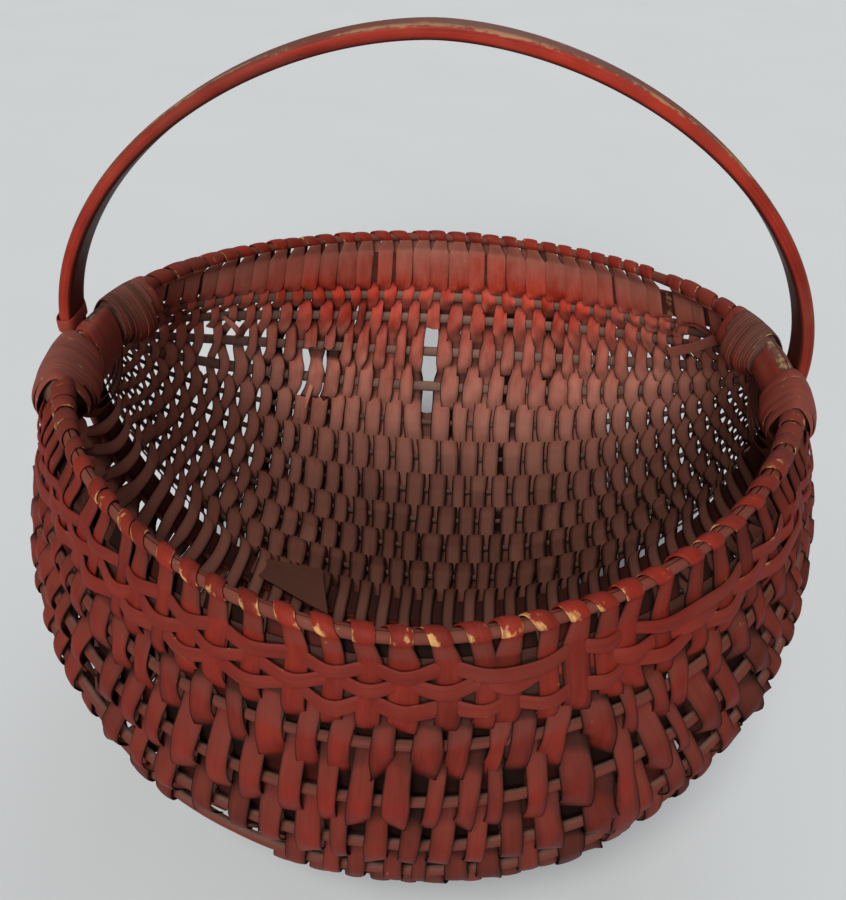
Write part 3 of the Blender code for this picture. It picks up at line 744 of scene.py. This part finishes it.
def painted(name, deep, bright, inside, dirt_and_shade, wood, rough=0.56, grain=(1100.0, 22.0), relief=0.00025,
            inner_dirt_and_painted_light=(0.185, 0.058, 0.042), streaks=0.20):
    """Old paint on split oak: fine grain along the strip, dirt with painted shade and sheen, and bare wood
    where it is rubbed.
    The colour attribute gives that dirt, rubbing, brightness (below zero painted shade and grime) and which
    side faces in."""
    n = Nodes(name)
    uv, spot = n.node("UVMap", {}, uv_map="grain").outputs[0], n.node("TexCoord", {}).outputs["Object"]
    finish_and_painted_light = n.node("Attribute", {}, attribute_name="finish_and_painted_light").outputs
    dirt_and_painted_light_in, rub_in, tone_in = n.node("SeparateColor", {0: finish_and_painted_light["Color"]}).outputs
    side_in = finish_and_painted_light["Alpha"]
    lines = n.noise(n.stretched(uv, (*grain, 1.0)), 1.0, 2.0)
    fibres = n.sharpen(lines, 0.36, 0.60)
    mottle = n.noise(n.stretched(uv, patch_scale), 1.0, 4.0)
    broad, fine = n.noise(spot, broad_scale, 3.0), n.noise(spot, fine_scale, 3.0)

    brightness = n.take(n.add(n.times(tone_in, 0.45), n.times(mottle, 0.95)), 0.22, clamp=True)
    within = n.mix(brightness, scaled(inside, 0.45), scaled(inside, 1.25))
    colour = n.mix(n.times(side_in, 0.9), n.mix(brightness, deep, bright), within)
    colour = n.mix(n.times(n.take(1.0, fibres), streaks), colour, scaled(deep, 0.42))
    # dirt, which on the splints is also painted shade outside and painted sheen inside
    dirt_and_painted_light_share = n.varied(n.varied(dirt_and_painted_light_in, mottle, 0.75), broad, 0.8)
    dirt_and_painted_light_share = n.times(n.math('MINIMUM', dirt_and_painted_light_share, 1.0), 0.86, clamp=True)
    colour = n.mix(dirt_and_painted_light_share, colour, n.mix(side_in, dirt_and_shade, inner_dirt_and_painted_light))
    rubbed = n.varied(n.varied(n.times(rub_in, 0.62), mottle, 1.5), fine, 0.9)
    rubbed = n.times(n.sharpen(rubbed, 0.42, 0.62), 0.85)
    colour = n.mix(rubbed, colour, n.mix(fibres, scaled(wood, 0.55), wood))
    # tone below zero darkens towards near black: painted shade and grime
    shade_and_grime = n.times(tone_in, -tone_to_shade_and_grime, clamp=True)
    n.feed(n.shader["Base Color"], n.mix(shade_and_grime, colour, shade_and_grime_colour))

    roughness = n.add(n.add(n.times(mottle, 0.22), rough - 0.11), n.times(dirt_and_painted_light_share, 0.14))
    n.feed(n.shader["Roughness"], roughness)
    n.feed(n.shader["Specular IOR Level"], n.times(n.take(1.0, shade_and_grime), 0.11))
    height = n.take(n.add(n.times(lines, 1.0), n.times(fine, 0.5)), n.times(rubbed, 0.5))
    bump = n.node("Bump", {"Strength": 0.55, "Distance": relief, "Height": height})
    n.feed(n.shader["Normal"], bump.outputs[0])
    return n.material


# on the splints the outer dirt colour is dark, partly painted shade, and the inner one light, partly painted
# sheen
splint_paint = painted("splint paint", (0.085, 0.009, 0.005), (0.285, 0.021, 0.009), (0.430, 0.038, 0.018),
                       (0.086, 0.025, 0.016), (0.58, 0.31, 0.11), inner_dirt_and_painted_light=(0.430, 0.180, 0.128))
rim_paint = painted("rim paint", (0.085, 0.018, 0.011), (0.18, 0.032, 0.020), (0.11, 0.03, 0.02),
                    (0.140, 0.060, 0.040), (0.42, 0.28, 0.15), rough=0.6)
handle_paint = painted("handle paint", (0.075, 0.009, 0.006), (0.430, 0.029, 0.012), (0.060, 0.009, 0.007),
                       (0.110, 0.046, 0.030), (0.30, 0.150, 0.070), inner_dirt_and_painted_light=(0.07, 0.020, 0.014),
                       rough=0.44, grain=(520.0, 5.0), relief=0.0003, streaks=0.62)
# the bands are painted very dark: painted shade where they show between the strips
band_paint_as_shade = painted("band paint as shade", (0.04, 0.009, 0.006), (0.09, 0.013, 0.009), (0.07, 0.014, 0.009),
                     (0.036, 0.017, 0.012), (0.40, 0.22, 0.09))
rib_paint = painted("rib wood", (0.085, 0.016, 0.010), (0.14, 0.028, 0.017), (0.170, 0.080, 0.057),
                    (0.090, 0.032, 0.021), (0.34, 0.22, 0.12), rough=0.62, grain=(800.0, 16.0),
                    inner_dirt_and_painted_light=(0.185, 0.112, 0.085))
lath_paint = painted("lath paint", (0.085, 0.009, 0.006), (0.215, 0.018, 0.009), (0.13, 0.020, 0.012),
                     (0.090, 0.030, 0.020), (0.42, 0.23, 0.09))
lashing_paint = painted("lashing paint", (0.12, 0.018, 0.011), (0.27, 0.038, 0.022), (0.12, 0.020, 0.013),
                        (0.130, 0.068, 0.049), (0.48, 0.26, 0.11), inner_dirt_and_painted_light=(0.11, 0.05, 0.035))
lacing_paint = painted("lacing paint", (0.10, 0.018, 0.011), (0.24, 0.044, 0.028), (0.12, 0.020, 0.013),
                       (0.130, 0.068, 0.049), (0.48, 0.26, 0.11), rough=0.92, inner_dirt_and_painted_light=(0.13, 0.064, 0.045))

# the weavers
splint_count = 11
splint_ends = [round(pass_count * number / splint_count) for number in range(splint_count + 1)]
for number in range(1, splint_count + 1):
    bag = Bag()
    controls = weaver_controls(splint_ends[number - 1], splint_ends[number] - 1)
    give_turns(controls)
    weave(bag, controls)
    woven = bag.make(f"woven_splint_{number:02d}", splint_paint)
    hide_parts(f"weaver_splint_{number:02d}")

# loose and broken pieces, on the inside of the back wall
wall_rows = [keel_row] + rows_of[back][1][::-1] + rows_of[back][0][::-1]


def inside_wall(share, level, lift):
    """A point by its share of a row, its row and its height above the wall, and the way into the basket."""
    low = min(int(level), len(wall_rows) - 2)
    a, b = wall_rows[low].at(share), wall_rows[low + 1].at(share)
    inward = unit(np.cross(b - a, wall_rows[low].along(share)))
    inward = inward * np.sign((inward * ((0, 0.03, -0.08) - a)).sum())
    return place(a + (b - a) * (level - low) + inward * lift), inward


def loose_splint(bag, path, half, twist, tone, dust):
    points, inward = zip(*[inside_wall(*q) for q in path])
    line = catmull(np.array(points), [7] * (len(points) - 1))
    share = np.linspace(0, 1, len(line))
    normal = unit(sample(np.array(inward), share, np.linspace(0, 1, len(points))))
    wide = unit(np.cross(normal, unit(np.gradient(line, axis=0))))
    turn = np.radians(np.interp(share, (0, 1), twist))[:, None]
    strip(bag, line, wide * np.cos(turn) + normal * np.sin(turn), half, splint_thickness, facing=-normal,
          dust=dust, inner_dust=dust, wear=0.12, tone=tone, ragged=(0.001, 0.001))


# path, half width, twist at both ends, tone and dust of each loose strip
loose_strips = (
    (((0.838, 8.7, 0.0065), (0.865, 8.95, 0.0080), (0.898, 9.55, 0.0080), (0.940, 10.6, 0.0055)),
     0.0034, (0, 0), 0.2, 0.75),
    (((0.177, 9.15, 0.003), (0.188, 8.85, 0.009), (0.198, 8.6, 0.009), (0.207, 8.2, 0.002)),
     0.0022, (50, -30), 0.3, 0.85),
    (((0.853, 9.65, 0.003), (0.860, 10.3, 0.007), (0.882, 11.05, 0.006), (0.905, 11.15, 0.005),
      (0.922, 10.7, 0.003)), 0.0016, (80, 80), 0.3, 0.6),
    (((0.322, 6.75, 0.003), (0.318, 6.4, 0.0036), (0.314, 6.0, 0.003)), 0.0017, (20, 45), 0.3, 0.95),
)
bag = Bag()
for settings in loose_strips:
    loose_splint(bag, *settings)
# a folded end lies on the hoop at the bottom
fold = np.linspace((-0.1300, 0.0030, 0.0560), (-0.0640, -0.0050, 0.0410), 12)
fold[:, 2] += 0.0012 * np.sin(np.linspace(0, 5, 12))
strip(bag, fold, (0.26, -0.96, -0.02), np.linspace(0.0030, 0.0210, 12), wide_thickness,
      facing=(0.0, 0.0, -1.0), dust=1.0, inner_dust=1.0, tone=-0.84)
loose = bag.make("loose_splints", splint_paint)

# a broad splint lines the front lobe beside each ear
for k, label, sign in ((1, "left", 1), (pass_count - 2, "right", -1)):
    path = [c for c in half_controls(k, front) if c["row"] > 0]
    points = [c["p"] - c["n"] * 0.0048 for c in path]
    points.append(points[-1] + 0.8 * (place(rim_row.at(pass_share(k)), front) - path[-1]["p"]))
    line = catmull(np.array(points), [6] * (len(points) - 1))
    share, stations = np.linspace(0, 1, len(line)), np.linspace(0, 1, len(points))
    inward, along = [np.array([c[key] for c in path + path[-1:]]) for key in ("n", "a")]
    inward, toward = unit(sample(inward, share, stations)), unit(sample(along, share, stations)) * sign
    bag = Bag()
    for shift, half in ((-0.010, 0.0125), (0.012, 0.0100)):
        strip(bag, line + toward * shift + inward * shift * 0.02, toward,
              half * np.interp(share, (0, 0.25, 1), (0.3, 1.0, 1.0)), wide_thickness, facing=inward,
              dust=0.9, inner_dust=0.75, wear=0.05, tone=-0.18, edge_wear=0.15)
    lining = bag.make(f"ear_lining_{label}", splint_paint)

# ribs
rib_points, rib_ring = 150, ring(12)
for side, label in ((front, "front"), (back, "back")):
    band, ribs = rows_of[side]
    rows = [band[1]] + ribs + [keel_row]
    for number in range(1, rib_count + 1):
        line = rows[number].full
        line = line[np.hypot(line[:, 1], line[:, 2]) >= weave_reach - 0.010]
        at = lengths(line)
        where = np.linspace(0, at[-1], rib_points)
        share = where / at[-1]
        centre = place(sample(line, where, at), side)
        tangent = unit(np.gradient(centre, axis=0))
        before, after = [rows[i].at(np.linspace(0.02, 0.98, rib_points)) for i in (number - 1, number + 1)]
        aside = unit(np.cross(tangent, flip(before - after, side)))
        up = unit(np.cross(aside, tangent))
        uneven = 1 + 0.05 * np.interp(share, np.linspace(0, 1, 24), rng.normal(0, 1, 24))
        radius = np.array([rib_size(s) for s in share]) * np.minimum(uneven, 1.04)
        thick, tall = (0.90, 1.55) if number < 5 else (0.84, 1.15 - 0.06 * number)
        if side == front:
            thick, tall = 0.84, 0.84
        # the side that looks into the basket is dustier, and on the lower ribs darker
        facing = aside[:, None] * np.cos(rib_ring)[:, None] + up[:, None] * np.sin(rib_ring)[:, None]
        outward = unit(centre - np.array((0.0, 0.0, 0.14)))
        looks_in = np.clip(0.5 - 1.6 * (facing * outward[:, None]).sum(2), 0, 1)
        tone = rng.uniform(0.2, 0.8) * (1 - looks_in) - looks_in * (0.0 if number < 5 else 0.30)
        bag = Bag()
        tube(bag, centre, radius * thick, radius * tall, aside, up, (np.cos(rib_ring), np.sin(rib_ring)),
             dust=0.34 + 0.28 * looks_in, tone=tone, inner=looks_in)
        rib = bag.make(f"round_rib_{label}_{number:02d}", rib_paint, 60)
        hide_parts(f"rib_{label}_{number:02d}")


# wide bands and the thin splints over them
band_points, lath_count, lath_thickness = 180, 3, 0.0010


def lath_line(side, number):
    """Where a thin splint runs: its share of the row, its height off the band and its sideways drift.
    It lies over every second of the outer passes, apart from a few slips."""
    crossings = np.arange(0, pass_count, 2)
    over = (np.arange(len(crossings)) + number) % 2 == 0
    for slip in rng.integers(2, len(over) - 2, 2):
        over[slip] = not over[slip]
    shares, heights, drift = [-0.004], [0.0022], [0.0]
    for k, is_over in zip(crossings, over):
        shares.append(pass_share(k, side, 0.4) + wander[k, band_column[side]])
        heights.append(0.0047 if is_over else 0.00125)
        drift.append(rng.normal(0.085 if is_over else -0.085, 0.035))
    return shares + [1.004], heights + [0.0022], drift + [0.0]


def eased(values, weights):
    return np.convolve(np.pad(values, len(weights) // 2, mode="edge"), weights, "valid")


for side, label in ((front, "front"), (back, "back")):
    high, low = rows_of[side][0]
    share = np.linspace(-0.012, 1.012, band_points)
    top, bottom = place(high.at(share), side), place(low.at(share), side)
    bag = Bag()
    # the paint is gone where the strip over the band is broken away
    gone = (np.abs(share - pass_share(60.6)) < 0.007) & (side == back)
    strip(bag, (top + bottom) / 2, bottom - top, np.linalg.norm(bottom - top, axis=1) / 2, band_thickness,
          facing=unit(np.cross(bottom - top, np.gradient(top, axis=0))) * -side, dust=0.75, inner_dust=0.35,
          wear=0.9 * gone, edge_wear=0.2, tone=0.3)
    band = bag.make(f"flat_band_{label}", band_paint_as_shade)
    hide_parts(f"wide_band_{label}")
    for number in range(lath_count):
        shares, heights, drift = lath_line(side, number)
        t = np.linspace(shares[0], shares[-1], 8 * len(shares))
        height = eased(np.interp(t, shares, heights), np.array((1, 3, 4, 4, 4, 3, 1)) / 20)
        bend = eased(np.interp(t, shares, drift), np.hanning(13)[1:-1] / 6)
        level = (number + 0.5) / lath_count + bend + 0.03 * np.sin(t * 17 + number * 2.1)
        a, b = high.at(t), low.at(t)
        out = unit(np.cross(high.along(t), b - a))
        centre = place(a + (b - a) * level[:, None] + out * height[:, None], side)
        uneven = 1 + 0.10 * np.interp(t, shares, rng.normal(0, 1, len(shares)))
        half = uneven * (0.0030 if side == front else 0.0027)
        half = half * np.clip(np.minimum(t + 0.03, 1.03 - t) / 0.16, 0.45, 1)
        bag = Bag()
        strip(bag, centre, flip(b - a, side), half, lath_thickness, facing=flip(out, side), dust=0.16,
              inner_dust=0.6, tone=rng.uniform(0.3, 0.8))
        lath = bag.make(f"lath_{label}_{number + 1}", lath_paint)
        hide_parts(f"thin_splint_{label}_{number + 1}")


# rim rod and handle hoop
rod_points, hoop_points, hoop_corners = 360, 420, 28


def closed_loop(line, count):
    """Even points on a closed line, how far along they lie and the way it runs there."""
    line = np.vstack([line, line[:1]])
    at = lengths(line)
    where = np.linspace(0, at[-1], count, endpoint=False)
    centre = sample(line, where, at)
    return centre, where, unit(np.roll(centre, -1, 0) - np.roll(centre, 1, 0))


# the rod is split in two halves
whole_rim = np.vstack([place(rim_line, back), place(rim_line, front)[::-1][1:-1]])
centre, where, tangent = closed_loop(whole_rim, rod_points)
outward = unit(np.cross(tangent, upright))
outward = outward * np.sign((outward * centre).sum(1))[:, None]
upward = unit(np.cross(outward, tangent))
upward = upward * np.sign(upward[:, 2:3])
away = np.abs(centre[:, 1])
at_ear = ramp(away, 0.062, -0.012)
size = rim_rod_radius * (1 - 0.32 * ramp(away, 0.065, 0.075))
angles = np.linspace(-math.pi / 2, math.pi / 2, 9)
half_round = np.append(np.cos(angles) * 0.93, (0.0, 0.0)), np.append(np.sin(angles), (0.80, -0.80))
bag = Bag()
for sign in (1, -1):
    tube(bag, centre + outward * 0.00028 * sign, size * sign, size, outward, upward, half_round,
         dust=0.30 + 0.62 * at_ear, wear=0.12 + (0.40 + 0.25 * (centre[:, 0] > 0)) * at_ear, closed=True)
rod = bag.make("rim_rod", rim_paint, 50)
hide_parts("rim_hoop")

# above the rim the hoop is the handle, below it the keel
x, z = oval(np.linspace(0, math.pi, 400), hoop_half_length, handle_rise, handle_power, handle_power)
above = place(np.stack([x, 0 * x, z], 1))
centre, where, tangent = closed_loop(np.vstack([place(keel_line), above[1:-1]]), hoop_points)
to_front = (0.0, -1.0, 0.0)
radial = unit(np.cross(to_front, tangent))
radial = radial * np.sign((radial * (centre - ear_height * upright)).sum(1))[:, None]
c, s = oval(ring(hoop_corners) + math.pi / hoop_corners, 1.0, 1.0, 7.0, 5.0)
is_top, is_low = np.clip((s - 0.55) * 3, 0, 1), np.clip((-s - 0.45) * 3, 0, 1)
corner = (np.abs(c) > 0.80) & (s > 0.62)
raised = ramp(centre[:, 2:3], ear_height, handle_rise)
along = where[:, None]
wear = 0.42 * is_top * raised ** 0.5 + 0.95 * corner * raised ** 2 + 0.10
wear = wear * (0.72 + 0.28 * np.sin(along * 31) * np.sin(along * 13 + 1))
# below the rim the sides and inner face of the hoop are dustier and much darker
sunk = 0.9 * ramp(centre[:, 2:3], ear_height - 0.004, -0.01) * np.clip(0.4 - s * 2, 0, 1)
dust = 0.78 * is_top + 0.12 * is_low + 0.10 + 0.14 * np.sin(along * 23) * np.sin(along * 9 + 2) + sunk
bag = Bag()
tube(bag, centre, hoop_width / 2, hoop_thickness / 2, to_front, radial, (c, s), closed=True, dust=dust,
     wear=wear * (1 - sunk), tone=0.72 - 0.5 * is_top - 1.5 * sunk, inner=is_low * np.ones((hoop_points, 1)))
hoop = bag.make("bent_handle", handle_paint, 50)
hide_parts("handle_hoop")

# ear lashings
ear_rim = rim_line[rim_line[:, 0] < 0]
ear_rim_at = lengths(ear_rim)
points_per_turn, top_taper = 44, 0.34


def ear_frame(away):
    """Points on the left half of the rim, away from the ear, the way it runs there and the way out."""
    centre, after, before = [sample(ear_rim, away + step, ear_rim_at) for step in (0, 0.004, -0.004)]
    ahead = unit(after - before)
    return centre, ahead, unit(np.stack([-ahead[:, 1], ahead[:, 0], 0 * away], 1))


def below_rod(height, swell):
    """How far the middle of a bundle of this half height hangs below the rim rod."""
    return height - 0.0058 - 0.0010 * swell


def at_corner(points, end, side):
    return place(points * np.array((-end, 1, 1.0)), side)


def to_corner(vectors, end, side):
    return flip(vectors * np.array((-end, 1, 1.0)), side)


def bundle(end, side, start, turns, pitch, half, lean, size, grow, tones, dust, bulge):
    """A flat splint wound round the rod and what is gathered below it, each turn partly over the last."""
    f = np.linspace(0, 1, int(turns * points_per_turn) + 1)
    angle = f * turns * 2 * math.pi + math.pi * 0.9
    unevenness = np.interp(f * turns, np.arange(int(turns) + 3), rng.normal(0, 1, int(turns) + 3))
    centre, ahead, out = ear_frame(start + pitch * f * turns + unevenness * pitch * 0.10)
    swell = np.interp(f, *grow) * (1 + 0.012 * unevenness)
    a, b = size[0] * swell, size[1] * swell
    low = below_rod(b, swell)
    c, s = np.cos(angle), np.sin(angle)
    aside, up = a * c * (1 - top_taper * s) + 0.0006 + bulge, b * s - low
    path = centre + out * aside[:, None] + upright * up[:, None]
    normal = unit(np.cross(unit(np.gradient(path, axis=0)), ahead))
    inward = centre - upright * low[:, None] - path
    normal = normal * -np.sign((normal * inward).sum(1))[:, None]
    wide = ahead * math.cos(lean) - normal * math.sin(lean)
    outward = to_corner(normal, end, side)
    tone = np.interp(f * turns, np.arange(int(turns) + 2), rng.uniform(*tones, int(turns) + 2))
    bag = Bag()
    strip(bag, at_corner(path, end, side), to_corner(wide, end, side), half * (1 + 0.05 * unevenness),
          splint_thickness, facing=outward, crown=outward * (0.0006 if half < 0.002 else 0.0003), tone=tone,
          dust=np.clip(dust[0] + dust[1] * s, 0, 1), inner_dust=0.6, wear=0.10 + 0.16 * np.clip(s, 0, 1),
          edge_wear=0.30)
    return bag


left, right = -1, 1
windings = {
    (left, front): dict(turns=19, pitch=0.0021, half=0.0024, bulge=0.0022, size=(0.0142, 0.0156),
                        grow=((0, 0.12, 0.5, 0.85, 1), (0.80, 0.96, 1.06, 1.02, 0.92)),
                        tones=(-0.10, 0.85), dust=(0.20, 0.34)),
    (left, back): dict(turns=14, pitch=0.0021, half=0.0017, bulge=0.0, size=(0.0118, 0.0160),
                       grow=((0, 0.3, 0.7, 1), (0.84, 0.98, 1.14, 1.10)),
                       tones=(-0.35, 0.75), dust=(0.32, 0.46)),
    (right, front): dict(turns=15, pitch=0.0019, half=0.0024, bulge=0.0, size=(0.0118, 0.0136),
                         grow=((0, 0.15, 0.6, 1), (0.84, 1.0, 1.04, 0.92)),
                         tones=(0.05, 0.95), dust=(0.14, 0.22)),
    (right, back): dict(turns=14, pitch=0.0022, half=0.0018, bulge=0.0, size=(0.0112, 0.0154),
                        grow=((0, 0.3, 0.7, 1), (0.84, 1.0, 1.10, 1.0)),
                        tones=(-0.35, 0.7), dust=(0.34, 0.42)),
}
winding_start, winding_lean = {front: 0.0165, back: 0.0215}, {front: math.radians(-9), back: math.radians(12)}
c, s = np.cos(ring(20)), np.sin(ring(20))
uneven = 1 + 0.05 * np.sin(ring(20) * 7)
core_profile = c * (1 - top_taper * s) * uneven, s * uneven
for (end, side), settings in windings.items():
    start, size, bulge = winding_start[side], settings["size"], settings["bulge"]
    bag = bundle(end, side, start, lean=winding_lean[side], **settings)
    label = f"{'left' if end < 0 else 'right'}_{'front' if side == front else 'back'}"
    wound = bag.make(f"ear_winding_{label}", lashing_paint)
    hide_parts(f"ear_lashing_{label}")
    # what the winding holds together
    stop = start + settings["turns"] * settings["pitch"]
    away = np.linspace(start - 0.0030, stop + 0.0080, 40)
    swell = np.interp((away - start) / (stop - start), *settings["grow"])
    ends = away[0], start + 0.001, stop - 0.001, away[-1]
    swell = swell * np.interp(away, ends, (0.45, 0.93, 0.90, 0.35))
    centre, ahead, out = ear_frame(away)
    centre = centre - upright * (below_rod(size[1] * swell, swell) + 0.0012)[:, None] + out * bulge
    bag = Bag()
    tube(bag, at_corner(centre, end, side), size[0] * swell, size[1] * swell, to_corner(out, end, side),
         upright, core_profile, dust=0.8, tone=0.3, inner=0.4)
    core = bag.make(f"ear_core_{label}", rib_paint)
    # a last wide turn holds the winding
    bag = bundle(end, side, stop + 0.0027, turns=1.15, pitch=0.0020, half=0.0042, lean=math.radians(4),
                 size=(size[0] * 0.80, size[1] * 0.86), grow=((0, 1), (1, 1.05)), tones=(0.6, 0.8),
                 dust=(0.16, 0.2), bulge=bulge)
    collar = bag.make(f"ear_collar_{label}", lashing_paint)

# nested arcs below each ear, and a broad splint that hangs over the gap between the windings
arc_count = 6
angle = np.linspace(-0.10, math.pi + 0.10, 46)
c, s = np.cos(angle), np.sin(angle)
keel_side = keel_line[keel_line[:, 0] < 0]
arc_lean = math.radians(42)
# middle, half width, lift off the wall and points left out at the top of each hanging strip
hanging_strips = {left: ((-0.0005, 0.0165, 0.0, 6), (-0.0088, 0.0048, 0.0004, 0)),
                  right: ((-0.0020, 0.0155, 0.0, 9),)}
for end, label in ((left, "left"), (right, "right")):
    bag = Bag()
    face = np.array((-1.0 * end, 0, 0))
    for arc in range(arc_count):
        reach = 0.0090 + 0.0054 * arc
        z = -0.0165 - reach * 0.88 * s * (1 + 0.02 * rng.normal()) - 0.002 * np.abs(c)
        stand = hoop_thickness / 2 + 0.0042 - 0.0014 * s + 0.0004 * (arc_count - arc) * s
        x = np.interp(-z, -keel_side[:, 2], keel_side[:, 0]) + stand
        path = np.stack([x * -end, reach * c * 0.94, z], 1)
        wide = np.stack([0 * c, c, -s], 1) * math.cos(arc_lean) - face * math.sin(arc_lean)
        strip(bag, place(path), wide, 0.0034, splint_thickness, facing=face, dust=0.40, inner_dust=0.4,
              wear=0.05, tone=rng.uniform(0.3, 0.9), edge_wear=0.15)
    arcs = bag.make(f"ear_arcs_{label}", lacing_paint)
    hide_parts(f"ear_lacing_{label}")
    bag = Bag()
    depth = 1.0 if end == left else 0.62
    hang = np.array(((0.0008, 0.0056), (-0.0048, 0.0040), (-0.0078, -0.0020), (-0.0094, -0.0100 * depth),
                     (-0.0092, -0.0190 * depth), (-0.0068, -0.0260 * depth)))
    hang = catmull(hang, [8] * 5)
    for middle, half, lift, skipped in hanging_strips[end]:
        out, drop = hang[skipped:].T
        edge = sample(ear_rim, abs(middle), ear_rim_at)
        path = np.stack([end * (out - lift - edge[0]), middle + 0 * out, drop + edge[2]], 1)
        strip(bag, place(path), (0.0, 1.0, 0.0), half, wide_thickness, facing=(-1.0 * end, 0.0, 0.3),
              dust=0.10, inner_dust=0.10, wear=0.10, tone=0.6, edge_wear=0.5)
    apron = bag.make(f"ear_turn_{label}", lashing_paint)

# a flat strap round the foot of the handle
bag = Bag()
angle = np.linspace(0, 2 * math.pi * 1.08, 70) + 0.6
c, s = np.cos(angle), np.sin(angle)
x = np.sign(c) * np.abs(c) ** 0.6 * 0.0049 - hoop_half_length
y = np.sign(s) * np.abs(s) ** 0.55 * 0.0112
path = np.stack([x, y, 0.0062 + 0.0016 * s + 0.0005 * angle / 6], 1)
strip(bag, place(path), upright, 0.0034, wide_thickness, facing=unit(np.stack([c * 2.0, s, 0 * c], 1)),
      dust=0.05, inner_dust=0.05, wear=0.10, tone=0.95)
strap = bag.make("handle_strap_left", lashing_paint)

# floor, light, camera
def cloth(name, colour):
    """Matt, with faint clouds."""
    n = Nodes(name)
    clouds = n.noise(n.node("TexCoord", {}).outputs["Object"], 3.0, 4.0, roughness=0.5)
    n.feed(n.shader["Base Color"], n.mix(clouds, scaled(colour, 0.97), scaled(colour, 1.03)))
    n.feed(n.shader["Roughness"], 0.9)
    return n.material


bpy.ops.mesh.primitive_plane_add(size=60, location=(0, 0, 0))
floor = bpy.context.object
floor.name = "floor"
floor.data.materials.append(cloth("floor cloth", (0.52, 0.535, 0.54)))

world = bpy.data.worlds.new("soft light")
bpy.context.scene.world = world
world.use_nodes = True
sky = world.node_tree.nodes["Background"]
sky.inputs["Color"].default_value = (0.93, 0.97, 1.0, 1.0)
sky.inputs["Strength"].default_value = 0.22


def lamp(name, where, spread, strength, colour):
    light = bpy.data.lights.new(name, 'SUN')
    light.angle, light.energy, light.color = math.radians(spread), strength, colour
    item = bpy.data.objects.new(name, light)
    bpy.context.scene.collection.objects.link(item)
    item.location = where
    item.rotation_euler = (-mathutils.Vector(where)).to_track_quat('-Z', 'Y').to_euler()


lamp("window", (-0.25, -0.78, 1.45), 20, 1.75, (1.0, 0.985, 0.96))
lamp("room", (-0.12, -1.30, 0.66), 26, 2.5, (0.98, 0.99, 1.0))
lamp("back", (0.3, 1.4, 1.3), 40, 0.6, (0.98, 0.99, 1.0))

azimuth, elevation, distance, roll = 0.0571, 0.4877, 0.4545, 0.0252
focal_pixels, picture_pixels, sensor = 839.9, 900, 36.0
eye = np.array((math.sin(azimuth) * math.cos(elevation), -math.cos(azimuth) * math.cos(elevation),
                math.sin(elevation))) * distance + ear_height * upright
target = np.array((-0.0014, 0.0, ear_height - 0.0691))
ahead = unit(target - eye)
level = unit(np.cross(ahead, upright))
over = np.cross(level, ahead)
sideways = math.cos(roll) * level + math.sin(roll) * over
over = math.cos(roll) * over - math.sin(roll) * level
view = bpy.data.cameras.new("camera")
view.lens_unit, view.sensor_width, view.lens = 'MILLIMETERS', sensor, sensor * focal_pixels / picture_pixels
view.clip_start, view.clip_end = 0.01, 40
camera = bpy.data.objects.new("camera", view)
bpy.context.scene.collection.objects.link(camera)
pose = np.vstack([np.column_stack([sideways, over, -ahead, eye]), (0, 0, 0, 1)])
camera.matrix_world = mathutils.Matrix(pose.tolist())
bpy.context.scene.camera = camera
bpy.context.scene.view_settings.view_transform = 'Standard'
